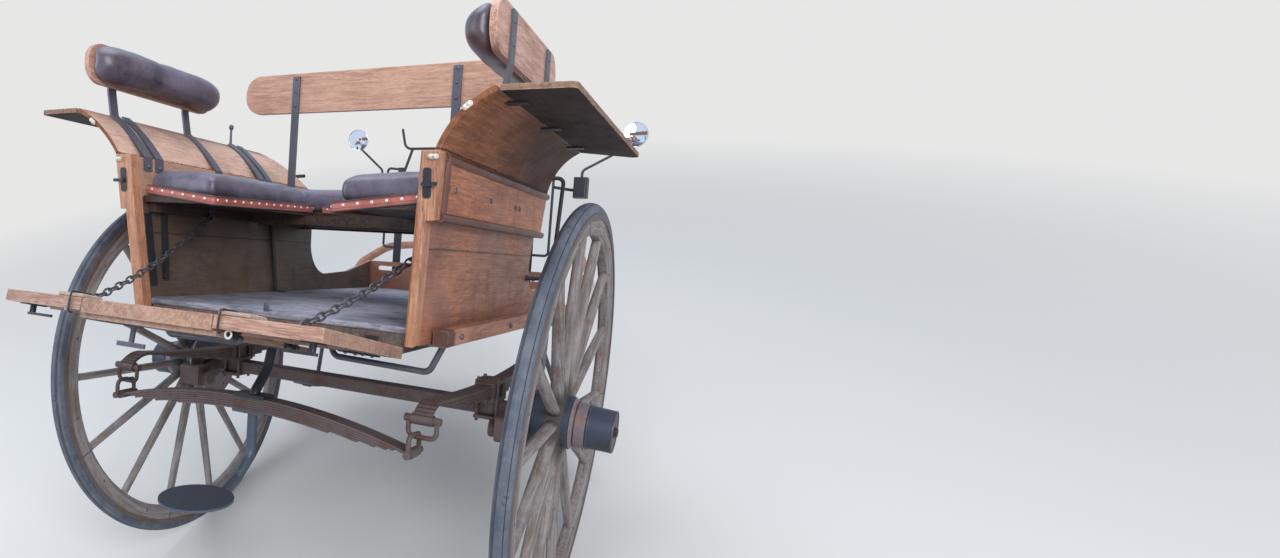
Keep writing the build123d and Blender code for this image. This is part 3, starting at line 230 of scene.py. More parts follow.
def wood(name, light, mid, dark, grain="x", turn=0.0, stain=0.4, wear=0.5, worn=None, rough=(0.4, 0.62),
         coat=0.1, back=None, under=None, seams=(), shine=0.5, zones=(), patch=None):
    """Board wood with worn edges. turn is the board's own angle about Y, back paints the faces
    towards the cart's middle, under gives the faces that look down a painted shade tone, seams
    are heights of thin dark joint lines, patch is a broad stain and each zone blends to a colour
    between two places along a direction."""
    n = Nodes(name)
    at = n.cart(turn)
    level = n.cart()
    place = n.split(level)
    color, height, blotch = board_color(n, at, light, mid, dark, grain, stain)
    if patch:
        broad = n.noise(level, 3.0, 5.0, 0.6, 0.6)
        color = n.mix(n.band(broad, 0.46, 0.64, 0, 0.75), color, patch)
    for direction, start, end, tone, strength in zones:
        toned = n.mix(0.5, n.mix(0.35, tone, color, "MULTIPLY"), tone)
        color = n.mix(n.band(n.dot(level, Vector(direction)), start, end, 0, strength), color, toned)
    facing = n.split(n.new("ShaderNodeNewGeometry").outputs["Normal"])
    if back:
        low, high, level_between = back
        inner, _, _ = board_color(n, at, shade(high, 1.15), high, shade(high, 0.4), grain, 0.4)
        lower, _, _ = board_color(n, at, shade(low, 1.3), low, shade(low, 0.35), grain, 0.6)
        lower = n.mix(n.band(n.noise(level, 3.0, 3.0, 0.6), 0.46, 0.66, 0, 0.8), lower, (0.115, 0.072, 0.042))
        inner = n.mix(n.band(place[2], level_between + 0.002, level_between - 0.002), inner, lower)
        outward = n.mul(facing[1], n.math("SIGN", place[1]))
        color = n.mix(n.band(outward, -0.35, -0.55), color, inner)
    # Painted shade: faces that look down take the darker under tone
    if under:
        below, _, _ = board_color(n, at, shade(under, 1.25), under, shade(under, 0.4), grain, 0.5)
        color = n.mix(n.band(facing[2], -0.02, -0.2), color, below)
    for seam in seams:
        wobble = n.mul(n.sub(n.noise(level, 60.0, 2.0, 0.5), 0.5), 0.01)
        line = n.band(n.math("ABSOLUTE", n.add(n.sub(place[2], seam), wobble)), 0.003, 0.0012)
        color = n.mix(n.mul(line, 0.85), color, shade(dark, 0.3))
        height = n.sub(height, n.mul(line, 1.2))
    edge = n.mul(n.edges(0.006), n.band(n.noise(level, 42.0, 5.0, 0.65), 0.42, 0.58))
    color = n.mix(n.mul(edge, wear), color, worn or shade(light, 1.45))
    nick = n.noise(level, 95.0, 4.0, 0.7)
    color = n.mix(n.band(nick, 0.66, 0.72, 0, 0.6), color, shade(dark, 0.4))
    n.bump(height, 0.32, 0.0012)
    return n.done(color, n.band(blotch, 0.3, 0.7, *rough), Coat_Weight=coat, Coat_Roughness=0.25,
                  Specular_IOR_Level=shine)


def wheel_parts(n, side):
    """Place from the wheel's middle, along its own axle (outward), radius and angle about it."""
    joint = joints["wheel_left" if side > 0 else "wheel_right"]
    axis = Vector(joint["axis"]).normalized()
    fore = PARK.to_3x3() @ Vector((1, 0, 0))
    fore = (fore - axis * fore.dot(axis)).normalized()
    place = n.new("ShaderNodeTexCoord").outputs["Object"]
    at = n.new("ShaderNodeVectorMath", {0: place, 1: Vector(joint["pos_m"])}, operation="SUBTRACT").outputs[0]
    along, x, z = (n.dot(at, direction) for direction in (axis, fore, axis.cross(fore)))
    return at, along, n.reach(x, z), n.math("ARCTAN2", z, x)


def wheel_wood(name, side):
    """Bare grey spokes and felloes: grain runs out along the spokes and round the rim."""
    n = Nodes(name)
    at, along, radius, angle = wheel_parts(n, side)
    spokes = n.joined(n.mul(radius, 1.2), n.mul(angle, 9.0), n.mul(along, 18.0))
    rim = n.joined(n.mul(angle, 0.9), n.mul(radius, 26.0), n.mul(along, 26.0))
    outer = n.band(radius, 0.578, 0.586)
    grain = n.new("ShaderNodeMix", {0: outer, 4: spokes, 5: rim}, data_type="VECTOR").outputs[1]
    figure = n.noise(grain, 5.0, 6.0, 0.65, 0.3)
    fine = n.noise(grain, 26.0, 4.0, 0.65)
    color = n.ramp(figure, (0.3, (0.105, 0.088, 0.084)), (0.46, (0.205, 0.182, 0.178)),
                   (0.6, (0.305, 0.285, 0.285)), (0.74, (0.225, 0.188, 0.165)))
    color = n.mix(n.band(fine, 0.54, 0.68, 0, 0.55), color, (0.075, 0.06, 0.054))
    color = n.mix(n.band(n.noise(at, 9.0, 6.0, 0.65), 0.5, 0.68, 0, 0.55), color, (0.155, 0.085, 0.055))
    color = n.mix(n.band(n.noise(at, 5.0, 6.0, 0.7), 0.56, 0.7, 0, 0.5), color, (0.035, 0.028, 0.028))
    color = n.mix(n.band(radius, 0.15, 0.105, 0, 0.75), color, (0.03, 0.024, 0.022))
    wave = n.math("ABSOLUTE", n.math("SINE", n.mul(angle, FELLOES / 2)))
    crack = n.mul(n.band(wave, 0.014, 0.004), n.band(radius, 0.58, 0.59))
    color = n.mix(crack, color, (0.012, 0.01, 0.01))
    n.bump(n.sub(n.add(fine, figure), n.mul(crack, 2.0)), 0.5, 0.0015)
    return n.done(color, 0.76)


def rust_over(n, at, color, rust, amount, scale):
    big = n.noise(at, scale, 6.0, 0.68, 0.2)
    small = n.noise(at, scale * 7, 4.0, 0.65)
    color = n.mix(n.band(big, 0.57 - amount * 0.2, 0.68), color, rust)
    color = n.mix(n.band(small, 0.55, 0.72, 0, 0.5), color, shade(rust, 1.6))
    color = n.mix(n.band(n.noise(at, scale * 3, 5.0, 0.7), 0.6, 0.7, 0, 0.5), color, shade(rust, 0.3))
    return color, n.add(big, n.mul(small, 0.6)), small


def iron(name, base, rust, amount, rough=0.5, metal=0.35, scale=26.0, leaves=None):
    """Painted or bare iron with rust patches and worn edges; leaves draws the joints of a
    spring pack, as rings about a height, across the axis that it runs along."""
    n = Nodes(name)
    at = n.cart()
    color, height, small = rust_over(n, at, base, rust, amount, scale)
    color = n.mix(n.mul(n.edges(0.004), 0.5), color, tuple(min(1, c * 1.9 + 0.03) for c in base))
    if leaves:
        axis, centre, start, pitch, count = leaves
        place = n.split(at)
        rows = n.math("DIVIDE", n.sub(n.reach(place[axis], n.sub(place[2], centre)), start), pitch)
        cell = n.gap(n.math("FRACT", rows), 0.5)
        inside = n.mul(n.math("GREATER_THAN", rows, 0.2), n.math("LESS_THAN", rows, count - 0.2))
        line = n.mul(n.band(cell, 0.34, 0.46), inside)
        color = n.mix(n.mul(line, 0.85), color, (0.012, 0.008, 0.007))
        height = n.sub(height, n.mul(line, 1.5))
    n.bump(height, 0.4, 0.0012)
    return n.done(color, n.band(small, 0.3, 0.7, rough - 0.12, rough + 0.2), metal)


def hub_iron(name, side):
    """Hub: dark inner flange, black ring before the spokes, rusty bands and a black cap."""
    n = Nodes(name)
    at, along, radius, _ = wheel_parts(n, side)
    color, height, small = rust_over(n, at, (0.046, 0.06, 0.094), (0.05, 0.036, 0.032), 0.15, 18.0)
    rusty, _, _ = rust_over(n, at, (0.2, 0.168, 0.19), (0.19, 0.105, 0.08), 0.5, 30.0)
    ring = n.mul(n.band(along, 0.024, 0.026), n.band(along, 0.0745, 0.0725))
    disc = n.mul(n.band(along, -0.1, -0.104), n.band(radius, 0.06, 0.064))
    color = n.mix(n.math("MAXIMUM", ring, disc), color, rusty)
    for edge in (0.025, 0.04, 0.073):
        color = n.mix(n.band(n.gap(along, edge), 0.0022, 0.0008), color, (0.01, 0.008, 0.008))
    color = n.mix(n.mul(n.edges(0.005), 0.5), color, (0.17, 0.17, 0.19))
    end = n.mul(n.band(along, 0.1475, 0.1488), n.band(radius, 0.058, 0.054))
    color = n.mix(end, color, (0.05, 0.032, 0.026))
    n.bump(height, 0.4, 0.0012)
    return n.done(color, n.band(small, 0.3, 0.7, 0.36, 0.62), 0.35)


def rubber(name, side):
    """Dusty tyre with fine grooves round its tread and dark side walls."""
    n = Nodes(name)
    at, along, radius, angle = wheel_parts(n, side)
    big = n.noise(at, 9.0, 7.0, 0.68)
    height = n.noise(at, 190.0, 3.0)
    scuff = n.noise(n.joined(n.mul(angle, 2.0), n.mul(along, 60.0), 0.0), 7.0, 5.0, 0.7)
    color = n.ramp(big, (0.32, (0.044, 0.056, 0.085)), (0.5, (0.085, 0.102, 0.14)),
                   (0.68, (0.15, 0.168, 0.21)))
    color = n.mix(n.band(scuff, 0.52, 0.7, 0, 0.55), color, (0.225, 0.23, 0.245))
    color = n.mix(n.band(n.noise(at, 42.0, 5.0, 0.7), 0.6, 0.7, 0, 0.6), color, (0.03, 0.03, 0.034))
    for groove in (-0.0135, -0.01, 0.0135):
        line = n.mul(n.band(n.gap(along, groove), 0.0013, 0.0006), n.band(radius, 0.655, 0.66))
        color = n.mix(line, color, (0.012, 0.012, 0.015))
        height = n.sub(height, n.mul(line, 2.0))
    color = n.mix(n.band(radius, 0.654, 0.646, 0, 0.7), color, (0.035, 0.037, 0.044))
    n.bump(height, 0.3, 0.0008)
    return n.done(color, n.band(big, 0.3, 0.7, 0.55, 0.78))


def leather(name, base, light, rusty, rust_amount):
    """Old hide: fine pebble grain, creases, dark and reddish worn parts; broad patches and the creases take
    the light tone, which on the seat and arm-pad hides is a painted bluish sheen.
    """
    n = Nodes(name)
    at = n.cart()
    cells = n.new("ShaderNodeTexVoronoi", {"Vector": at, "Scale": 330.0}, feature="DISTANCE_TO_EDGE")
    crease = n.noise(at, 18.0, 7.0, 0.7, 1.4)
    blotch = n.noise(at, 7.0, 6.0, 0.65, 0.3)
    color = n.mix(n.band(blotch, 0.4, 0.64), base, light)
    color = n.mix(n.band(n.noise(at, 9.0, 7.0, 0.7), 0.6 - rust_amount * 0.2, 0.74, 0, 0.85), color, rusty)
    color = n.mix(n.band(n.noise(at, 55.0, 5.0, 0.72), 0.57, 0.66, 0, 0.6), color, shade(base, 0.35))
    color = n.mix(n.band(crease, 0.6, 0.74, 0, 0.35), color, shade(light, 1.35))
    n.bump(n.add(n.mul(n.band(cells.outputs[0], 0, 0.25), 0.35), n.mul(crease, 1.3)), 0.42, 0.0012)
    return n.done(color, n.band(blotch, 0.35, 0.7, 0.34, 0.52), Coat_Weight=0.45, Coat_Roughness=0.3)


def plain(name, color, rough, metal=0.0, spots=None):
    """A smooth finish with faint spots."""
    n = Nodes(name)
    fac = n.noise(n.cart(), 30.0, 5.0, 0.6)
    mixed = n.mix(n.band(fac, 0.45, 0.7, 0, 0.8), color, spots or shade(color, 0.6))
    n.bump(fac, 0.15, 0.0008)
    return n.done(mixed, n.band(fac, 0.3, 0.7, rough * 0.85, min(1, rough * 1.2)), metal)


TAIL_TURN = -LEAN - TAIL_OPEN
# Tone of the round beads that frame the waist panels, and where these begin and end
BEAD = (0.105, 0.045, 0.038)
BEAD_TOP, BEAD_LOW, WAIST_REAR, BLUR = 1.403, 1.28, -0.4264, 0.0015
# Tones of the walls' inner faces below and above the benches, and the height between them
INNER_WALL = ((0.105, 0.073, 0.06), (0.44, 0.255, 0.18), 1.3)
# Painted shade on the faces of the lowered tailboard and its door that look down
TAIL_UNDER_SHADE = (0.085, 0.04, 0.032)
RUST_BROWN = (0.1, 0.05, 0.036)
M = {
    "wall": wood("oak_wall", (0.46, 0.195, 0.112), (0.33, 0.125, 0.07), (0.085, 0.032, 0.022),
                 stain=0.45, wear=0.35, back=INNER_WALL, seams=(1.188,), patch=(0.175, 0.085, 0.08)),
    "waist": wood("oak_waist", (0.56, 0.225, 0.11), (0.4, 0.132, 0.062), (0.12, 0.036, 0.02),
                  stain=0.4, wear=0.45, seams=(1.4235,), patch=(0.26, 0.1, 0.07),
                  zones=(((0, 0, 1), BEAD_LOW + BLUR, BEAD_LOW - BLUR, BEAD, 0.9),
                         ((0, 0, 1), BEAD_TOP - BLUR, BEAD_TOP + BLUR, BEAD, 0.9),
                         ((1, 0, REAR_SLOPE), WAIST_REAR + BLUR, WAIST_REAR - BLUR, BEAD, 0.9))),
    "post": wood("oak_post", (0.57, 0.3, 0.185), (0.4, 0.175, 0.1), (0.13, 0.05, 0.034),
                 grain="z", turn=-LEAN, stain=0.35, wear=0.6),
    # The flare's back tones are painted light: its inner faces lit by the sky, with a painted reflection of
    # the sky on the varnish
    "flare": wood("oak_flare", (0.38, 0.15, 0.07), (0.25, 0.09, 0.042), (0.06, 0.021, 0.014),
                  stain=0.45, wear=0.7, worn=(0.42, 0.28, 0.2), rough=(0.55, 0.75), coat=0.03, shine=0.25,
                  back=((0.5, 0.3, 0.23), (0.6, 0.4, 0.32), 1.4), seams=(1.4305,),
                  # Painted shade: this zone darkens the flare towards its top, where the wing shades it
                  zones=(((0.3, 0, 1), 1.37, 1.51, (0.06, 0.026, 0.02), 0.88),)),
    # The wing's under tone is painted shade on its underside
    "wing": wood("oak_wing", (0.34, 0.22, 0.155), (0.215, 0.125, 0.088), (0.075, 0.042, 0.034),
                 stain=0.7, wear=0.9, worn=(0.5, 0.38, 0.29), under=(0.034, 0.022, 0.023),
                 rough=(0.6, 0.85), coat=0.0, shine=0.2),
    "rail": wood("oak_rail", (0.62, 0.385, 0.285), (0.51, 0.285, 0.205), (0.27, 0.125, 0.085),
                 grain="y", stain=0.15, wear=0.6),
    "arm": wood("oak_arm", (0.66, 0.41, 0.325), (0.48, 0.26, 0.195), (0.15, 0.06, 0.045),
                stain=0.35, wear=0.6),
    # The bench's under tone is painted shade on its underside
    "bench": wood("oak_bench", (0.085, 0.055, 0.045), (0.045, 0.029, 0.025), (0.018, 0.011, 0.01),
                  stain=0.6, under=(0.022, 0.015, 0.014), shine=0.3),
    "tail": wood("oak_tail", (0.53, 0.335, 0.255), (0.365, 0.19, 0.135), (0.12, 0.054, 0.038),
                 grain="y", turn=TAIL_TURN, stain=0.35, wear=0.8, worn=(0.62, 0.47, 0.37), under=TAIL_UNDER_SHADE),
    "door": wood("oak_door", (0.5, 0.315, 0.225), (0.345, 0.18, 0.12), (0.13, 0.058, 0.04),
                 grain="z", turn=TAIL_TURN, stain=0.35, wear=0.7, worn=(0.6, 0.45, 0.35), under=TAIL_UNDER_SHADE),
    "floor": wood("grey_floor", (0.38, 0.39, 0.47), (0.185, 0.19, 0.245), (0.035, 0.034, 0.042),
                  grain="y", stain=0.7, wear=0.5, worn=(0.36, 0.37, 0.4), rough=(0.62, 0.85), coat=0.0),
    "frame": wood("dark_frame", (0.17, 0.13, 0.11), (0.095, 0.07, 0.06), (0.03, 0.022, 0.02),
                  stain=0.5, rough=(0.7, 0.9), coat=0.0),
    "shaft": wood("ash_shaft", (0.54, 0.26, 0.165), (0.39, 0.165, 0.1), (0.11, 0.048, 0.034),
                  stain=0.3, wear=0.5, zones=(((1, 0, 0), -0.436, -0.452, (0.085, 0.04, 0.032), 0.92),)),
    "pale": wood("pale_block", (0.56, 0.44, 0.36), (0.42, 0.31, 0.25), (0.24, 0.165, 0.13),
                 grain="y", turn=TAIL_TURN, stain=0.4, coat=0.0),
    "black": iron("black_iron", (0.03, 0.033, 0.042), (0.07, 0.05, 0.042), 0.1, 0.42, 0.4),
    "strap": iron("grey_iron", (0.108, 0.114, 0.145), (0.115, 0.09, 0.085), 0.12, 0.44, 0.45),
    "spring": iron("spring_iron", (0.125, 0.092, 0.088), RUST_BROWN, 0.5, 0.6, 0.35, 18.0),
    "side_leaf": iron("side_leaf_iron", (0.125, 0.092, 0.088), RUST_BROWN, 0.5, 0.6, 0.35, 18.0,
                      leaves=(0, SWEEP_CENTRE, SWEEP_START, 0.009, 5)),
    "cross_leaf": iron("cross_leaf_iron", (0.135, 0.102, 0.104), (0.11, 0.058, 0.044), 0.5, 0.6, 0.35, 18.0,
                       leaves=(1, ARCH_CENTRE, ARCH_START, 0.0065, 6)),
    "band": iron("band_iron", (0.13, 0.125, 0.13), (0.15, 0.078, 0.048), 0.6, 0.7, 0.3, 14.0),
    "galv": iron("galvanised", (0.08, 0.102, 0.145), (0.12, 0.1, 0.09), 0.15, 0.5, 0.5, 20.0),
    "chain": iron("chain_iron", (0.085, 0.09, 0.105), (0.08, 0.05, 0.04), 0.3, 0.45, 0.6, 60.0),
    # The seat and pad hides' light tones are a painted bluish sheen of the sky
    "seat": leather("seat_hide", (0.068, 0.055, 0.086), (0.15, 0.135, 0.2), (0.105, 0.058, 0.06), 0.15),
    "pad": leather("pad_hide", (0.045, 0.035, 0.052), (0.16, 0.138, 0.205), (0.15, 0.075, 0.068), 0.55),
    "trim": leather("red_trim", (0.38, 0.098, 0.076), (0.5, 0.165, 0.13), (0.17, 0.05, 0.042), 0.2),
    "hide": leather("dark_hide", (0.06, 0.036, 0.034), (0.11, 0.07, 0.065), (0.09, 0.05, 0.04), 0.4),
    "silver": plain("silver_nail", (0.74, 0.74, 0.75), 0.32, 0.6),
    "chrome": plain("mirror_chrome", (0.8, 0.81, 0.83), 0.12, 1.0, (0.7, 0.71, 0.74)),
    "glass": plain("mirror_glass", (0.86, 0.89, 0.92), 0.04, 1.0, (0.82, 0.86, 0.9)),
    "white": plain("white_knob", (0.72, 0.7, 0.64), 0.35),
}
for side, tag in SIDES:
    M["wheel_" + tag] = wheel_wood("grey_spokes_" + tag, side)
    M["hub_" + tag] = hub_iron("hub_iron_" + tag, side)
    M["tyre_" + tag] = rubber("tyre_rubber_" + tag, side)

# CAD nodes by look; a name that ends in an underscore stands for its left and its right
NODE_LOOK = {
    "wall": "side_wall_ dash_board",
    "waist": "waist_panel_",
    "post": "corner_posts",
    "flare": "flare_board_",
    "wing": "wing_",
    "rail": "back_rail",
    "arm": "arm_boards",
    "bench": "side_benches front_bench",
    "tail": "tailboard",
    "door": "door",
    "floor": "floor_boards",
    "frame": "under_frame",
    "shaft": "shaft_",
    "wheel_left": "felloes_and_spokes_left",
    "wheel_right": "felloes_and_spokes_right",
    "hub_left": "hub_left",
    "hub_right": "hub_right",
    "tyre_left": "tyre_left",
    "tyre_right": "tyre_right",
    "black": ("grab_rails mirror_arms door_hinge_pins tailboard_straps tailboard_hinge_leaves "
              "wing_straps post_latches wall_irons dash_irons spring_post"),
    "strap": "back_rail_irons arm_irons spring_hangers loop_irons front_steps door_irons",
    "spring": "shackles axle_clips axle brake_callipers",
    "side_leaf": "side_spring_",
    "cross_leaf": "cross_spring",
    "band": "wheel_band_",
    "galv": "rear_step",
    "chain": "stay_chains",
    "seat": "side_cushion_ front_cushion",
    "pad": "arm_pad_",
    "chrome": "mirrors",
}
for look, names in NODE_LOOK.items():
    for name in names.split():
        for full in ([name + tag for side, tag in SIDES] if name.endswith("_") else [name]):
            node = frame["nodes"][full]
            node.data.materials.clear()
            node.data.materials.append(M[look])


# Mesh helpers
def turns(count):
    """Evenly spaced angles round a circle."""
    return [2 * math.pi * k / count for k in range(count)]


# Corners of a bevelled box: the signs of x and y, and whether x is the one in full
CORNERS = ((-1, -1, 1), (-1, -1, 0), (1, -1, 0), (1, -1, 1), (1, 1, 1), (1, 1, 0), (-1, 1, 0), (-1, 1, 1))


class Build:
    """Collects the vertices and faces of one piece, in the level cart's axes."""

    def __init__(self):
        self.v, self.f = [], []

    def add(self, verts, faces):
        k = len(self.v)
        self.v += [Vector(p) for p in verts]
        self.f += [tuple(k + i for i in face) for face in faces]

    def loft(self, rings, closed=False):
        """Joins rings of points, and closes the two ends where the row of rings is open."""
        n = len(rings[0])
        faces = []
        for i in range(len(rings) if closed else len(rings) - 1):
            j = (i + 1) % len(rings)
            for k in range(n):
                m = (k + 1) % n
                faces.append((i * n + k, i * n + m, j * n + m, j * n + k))
        if not closed:
            faces.append(tuple(reversed(range(n))))
            faces.append(tuple((len(rings) - 1) * n + k for k in range(n)))
        self.add([p for ring in rings for p in ring], faces)

    def tube(self, points, radius, sides=10, closed=False):
        pts = [Vector(p) for p in points]
        count = len(pts)
        up = None
        rings = []
        for i, p in enumerate(pts):
            a = pts[i - 1] if (i or closed) else p
            b = pts[(i + 1) % count] if (i + 1 < count or closed) else p
            t = (b - a).normalized()
            if up is None:
                up = t.orthogonal().normalized()
            up = (up - t * up.dot(t)).normalized()
            side = t.cross(up)
            rings.append([p + (up * math.cos(q) + side * math.sin(q)) * radius for q in turns(sides)])
        self.loft(rings, closed)

    def turned(self, at, axis, profile, sides=16):
        """Revolves (distance along axis, radius) pairs about an axis."""
        at, axis = Vector(at), Vector(axis).normalized()
        u = axis.orthogonal().normalized()
        w = axis.cross(u)
        self.loft([[at + axis * along + (u * math.cos(q) + w * math.sin(q)) * radius for q in turns(sides)]
                   for along, radius in profile])

    def dome(self, at, normal, radius, height, sides=10):
        self.turned(at, normal, [(-0.001, radius), (0, radius), (height * 0.55, radius * 0.8),
                                 (height * 0.88, radius * 0.45), (height, radius * 0.08)], sides)

    def slab(self, at, x_dir, y_dir, size, bevel):
        """A box with bevelled edges, centred at a point; size along x_dir, y_dir and their normal."""
        x = Vector(x_dir).normalized()
        z = x.cross(Vector(y_dir)).normalized()
        y = z.cross(x)
        hx, hy, hz = (v / 2 for v in size)
        b = min(bevel, hx * 0.9, hy * 0.9, hz * 0.9)
        rings = []
        for depth, inset in ((-hz, b), (-hz + b, 0), (hz - b, 0), (hz, b)):
            rings.append([Vector(at) + x * (sx * (hx - inset - (0 if full else b)))
                          + y * (sy * (hy - inset - (b if full else 0))) + z * depth
                          for sx, sy, full in CORNERS])
        self.loft(rings)

    def mirrored(self):
        """Adds the other side's copy."""
        verts = [Vector((p.x, -p.y, p.z)) for p in self.v]
        self.add(verts, [tuple(reversed(face)) for face in self.f])


def piece(name, build, look, body="body"):
    mesh = bpy.data.meshes.new(name)
    mesh.from_pydata([PARK @ p for p in build.v], [], build.f)
    mesh.update()
    obj = bpy.data.objects.new(name, mesh)
    bpy.context.scene.collection.objects.link(obj)
    mesh.materials.append(M[look])
    mesh.shade_smooth()
    mesh.set_sharp_from_angle(angle=math.radians(40))
    if body:
        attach(obj, body)
    return obj


# Cushions
def clamped(p, low, high):
    return Vector([min(max(c, a), b) for c, a, b in zip(p, low, high)])


def block(low, high, corner, counts):
    """A rounded box with even faces, as the start of a cushion."""
    b = Build()
    grid = {}
    nx, ny, nz = counts
    inset = (corner, corner, min(corner, (high[2] - low[2]) / 2))
    inner_low = [a + r for a, r in zip(low, inset)]
    inner_high = [a - r for a, r in zip(high, inset)]

    def vert(*key):
        if key not in grid:
            p = Vector([a + (c - a) * i / n for a, c, i, n in zip(low, high, key, counts)])
            inner = clamped(p, inner_low, inner_high)
            d = p - inner
            if d.length > corner:
                p = inner + d.normalized() * corner
            grid[key] = len(b.v)
            b.v.append(p)
        return grid[key]

    for i in range(nx):
        for j in range(ny):
            b.f.append((vert(i, j, nz), vert(i + 1, j, nz), vert(i + 1, j + 1, nz), vert(i, j + 1, nz)))
            b.f.append((vert(i, j, 0), vert(i, j + 1, 0), vert(i + 1, j + 1, 0), vert(i + 1, j, 0)))
    for i in range(nx):
        for k in range(nz):
            b.f.append((vert(i, 0, k), vert(i + 1, 0, k), vert(i + 1, 0, k + 1), vert(i, 0, k + 1)))
            b.f.append((vert(i, ny, k), vert(i, ny, k + 1), vert(i + 1, ny, k + 1), vert(i + 1, ny, k)))
    for j in range(ny):
        for k in range(nz):
            b.f.append((vert(0, j, k), vert(0, j, k + 1), vert(0, j + 1, k + 1), vert(0, j + 1, k)))
            b.f.append((vert(nx, j, k), vert(nx, j + 1, k), vert(nx, j + 1, k + 1), vert(nx, j, k + 1)))
    return b


PRESSURE = 4.0
CLOTH_FRAMES = 16


def inflate(obj, cap):
    """Blows the piece up as cloth, keeps each point within cap of where it was, and applies it."""
    cloth = obj.modifiers.new("cloth", "CLOTH")
    s = cloth.settings
    s.quality = 6
    s.use_pressure = True
    s.uniform_pressure_force = PRESSURE
    s.tension_stiffness = s.compression_stiffness = 12
    s.bending_stiffness = 0.6
    s.effector_weights.gravity = 0
    cloth.point_cache.frame_end = CLOTH_FRAMES
    scene = bpy.context.scene
    for number in range(1, CLOTH_FRAMES + 1):
        scene.frame_set(number)
    view = obj.evaluated_get(bpy.context.evaluated_depsgraph_get())
    moves = [moved.co - v.co for moved, v in zip(view.data.vertices, obj.data.vertices)]
    obj.modifiers.remove(cloth)
    scene.frame_set(1)
    for v, d in zip(obj.data.vertices, moves):
        v.co += d * (min(1, cap / d.length) if d.length > 1e-9 else 1)
    obj.data.update()


def shape(obj, move):
    """Moves each vertex by a function of its place in the level cart's axes."""
    for v in obj.data.vertices:
        v.co = PARK @ move(UNPARK @ v.co)
    obj.data.update()


def finish_pad(obj, low, high):
    """Keeps a cushion in its room and smooths it once."""
    shape(obj, lambda p: clamped(p, low, high))
    sub = obj.modifiers.new("smooth", "SUBSURF")
    sub.levels = sub.render_levels = 1


def ripple(x, y, z):
    return noise.noise(Vector((x, y, z)))


SEAT_REAR, SEAT_FRONT = -0.576, -0.002
SEAT_INNER, SEAT_OUTER = 0.2085, 0.4845
SEAT_LOW, SEAT_HIGH = 1.3053, 1.356


def topped(p, lift):
    """Lifts the upper part of a seat cushion and leaves its lower part."""
    top = max(0, min(1, (p.z - 1.325) / 0.02))
    return p + Vector((0, 0, lift * top))


for side, tag in SIDES:
    y0, y1 = sorted((side * SEAT_INNER, side * SEAT_OUTER))
    solid = block((SEAT_REAR, y0, SEAT_LOW + 0.002), (SEAT_FRONT, y1, SEAT_HIGH), 0.024, (40, 20, 5))
    seat = piece("seat_cushion_" + tag, solid, "seat")
    inflate(seat, 0.012)

    def crown(p, middle=(y0 + y1) / 2):
        """Fuller in the middle, and rising to the wall and to the front."""
        u = (p.x + 0.289) / 0.287
        w = (p.y - middle) / 0.138
        lift = 0.01 + 0.008 * max(0, 1 - u * u) * max(0, 1 - w * w)
        lift += 0.014 * (abs(p.y) - SEAT_INNER) / 0.276 + 0.006 * max(0, p.x - SEAT_REAR) / 0.574
        return topped(p, lift + 0.0022 * ripple(p.x * 9, p.y * 14, 3.1))

    shape(seat, crown)
    finish_pad(seat, (-0.578, y0 - 0.002, SEAT_LOW), (-0.0005, y1 + 0.002, 1.396))
    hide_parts("side_cushion_" + tag)


def front_crown(p):
    """Full, with the seam that parts the two seats."""
    u = (p.x - 0.245) / 0.196
    w = p.y / 0.48
    seam = math.exp(-(p.y / 0.01) ** 2) * 0.005
    lift = 0.024 + 0.01 * max(0, 1 - u * u) * max(0, 1 - w ** 4) - seam
    return topped(p, lift + 0.0022 * ripple(p.x * 10, p.y * 9, 7.7))


solid = block((0.049, -0.48, SEAT_LOW + 0.002), (0.441, 0.48, SEAT_HIGH), 0.026, (26, 60, 5))
front = piece("seat_cushion_front", solid, "seat")
inflate(front, 0.012)
shape(front, front_crown)
finish_pad(front, (0.0472, -0.4838, SEAT_LOW), (0.4428, 0.4838, 1.399))
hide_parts("front_cushion")

# The arm pads: their ends, edges and middle, and the flat back that lies on the arm board
PAD_REAR, PAD_FRONT, PAD_X = -0.674, -0.086, -0.38
PAD_LOW, PAD_HIGH, PAD_Z = 1.6535, 1.7805, 1.717
PAD_FACE, PAD_BACK = 0.562, 0.6475
for side, tag in SIDES:
    y0, y1 = sorted((side * PAD_FACE, side * PAD_BACK))
    solid = block((PAD_REAR, y0, PAD_LOW), (PAD_FRONT, y1, PAD_HIGH), 0.04, (46, 8, 12))
    pad = piece("arm_cushion_" + tag, solid, "pad")

    def round_end(p, side=side):
        """Draws the ends and the edges of the front in, and leaves the back flat."""
        u = (p.x - PAD_X) / 0.294
        v = (p.z - PAD_Z) / 0.0635
        inner = max(0, min(1, (PAD_BACK - side * p.y) / 0.085))
        pull = 1 - 0.34 * abs(u) ** 7
        sink = side * (0.034 * abs(v) ** 2.4 + 0.028 * abs(u) ** 6) * inner
        return Vector((p.x, p.y, PAD_Z + (p.z - PAD_Z) * pull)) + ACROSS * sink

    def creases(p):
        out = 0.0018 * ripple(p.x * 16, 2.0, p.z * 22) + 0.0007 * ripple(p.x * 55, 1.0, p.z * 60)
        return p + Vector((0, out, 0.0012 * ripple(p.x * 20, 5.0, p.z * 9)))

    shape(pad, round_end)
    inflate(pad, 0.008)
    shape(pad, creases)
    finish_pad(pad, (-0.6795, y0 - 0.0045, 1.6485), (-0.0805, y1 + 0.0002, 1.7855))
    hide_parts("arm_pad_" + tag)

# Chains
CHAIN_X, CHAIN_Y = -0.285, 0.335
LINKS = 25
SAG = 0.026


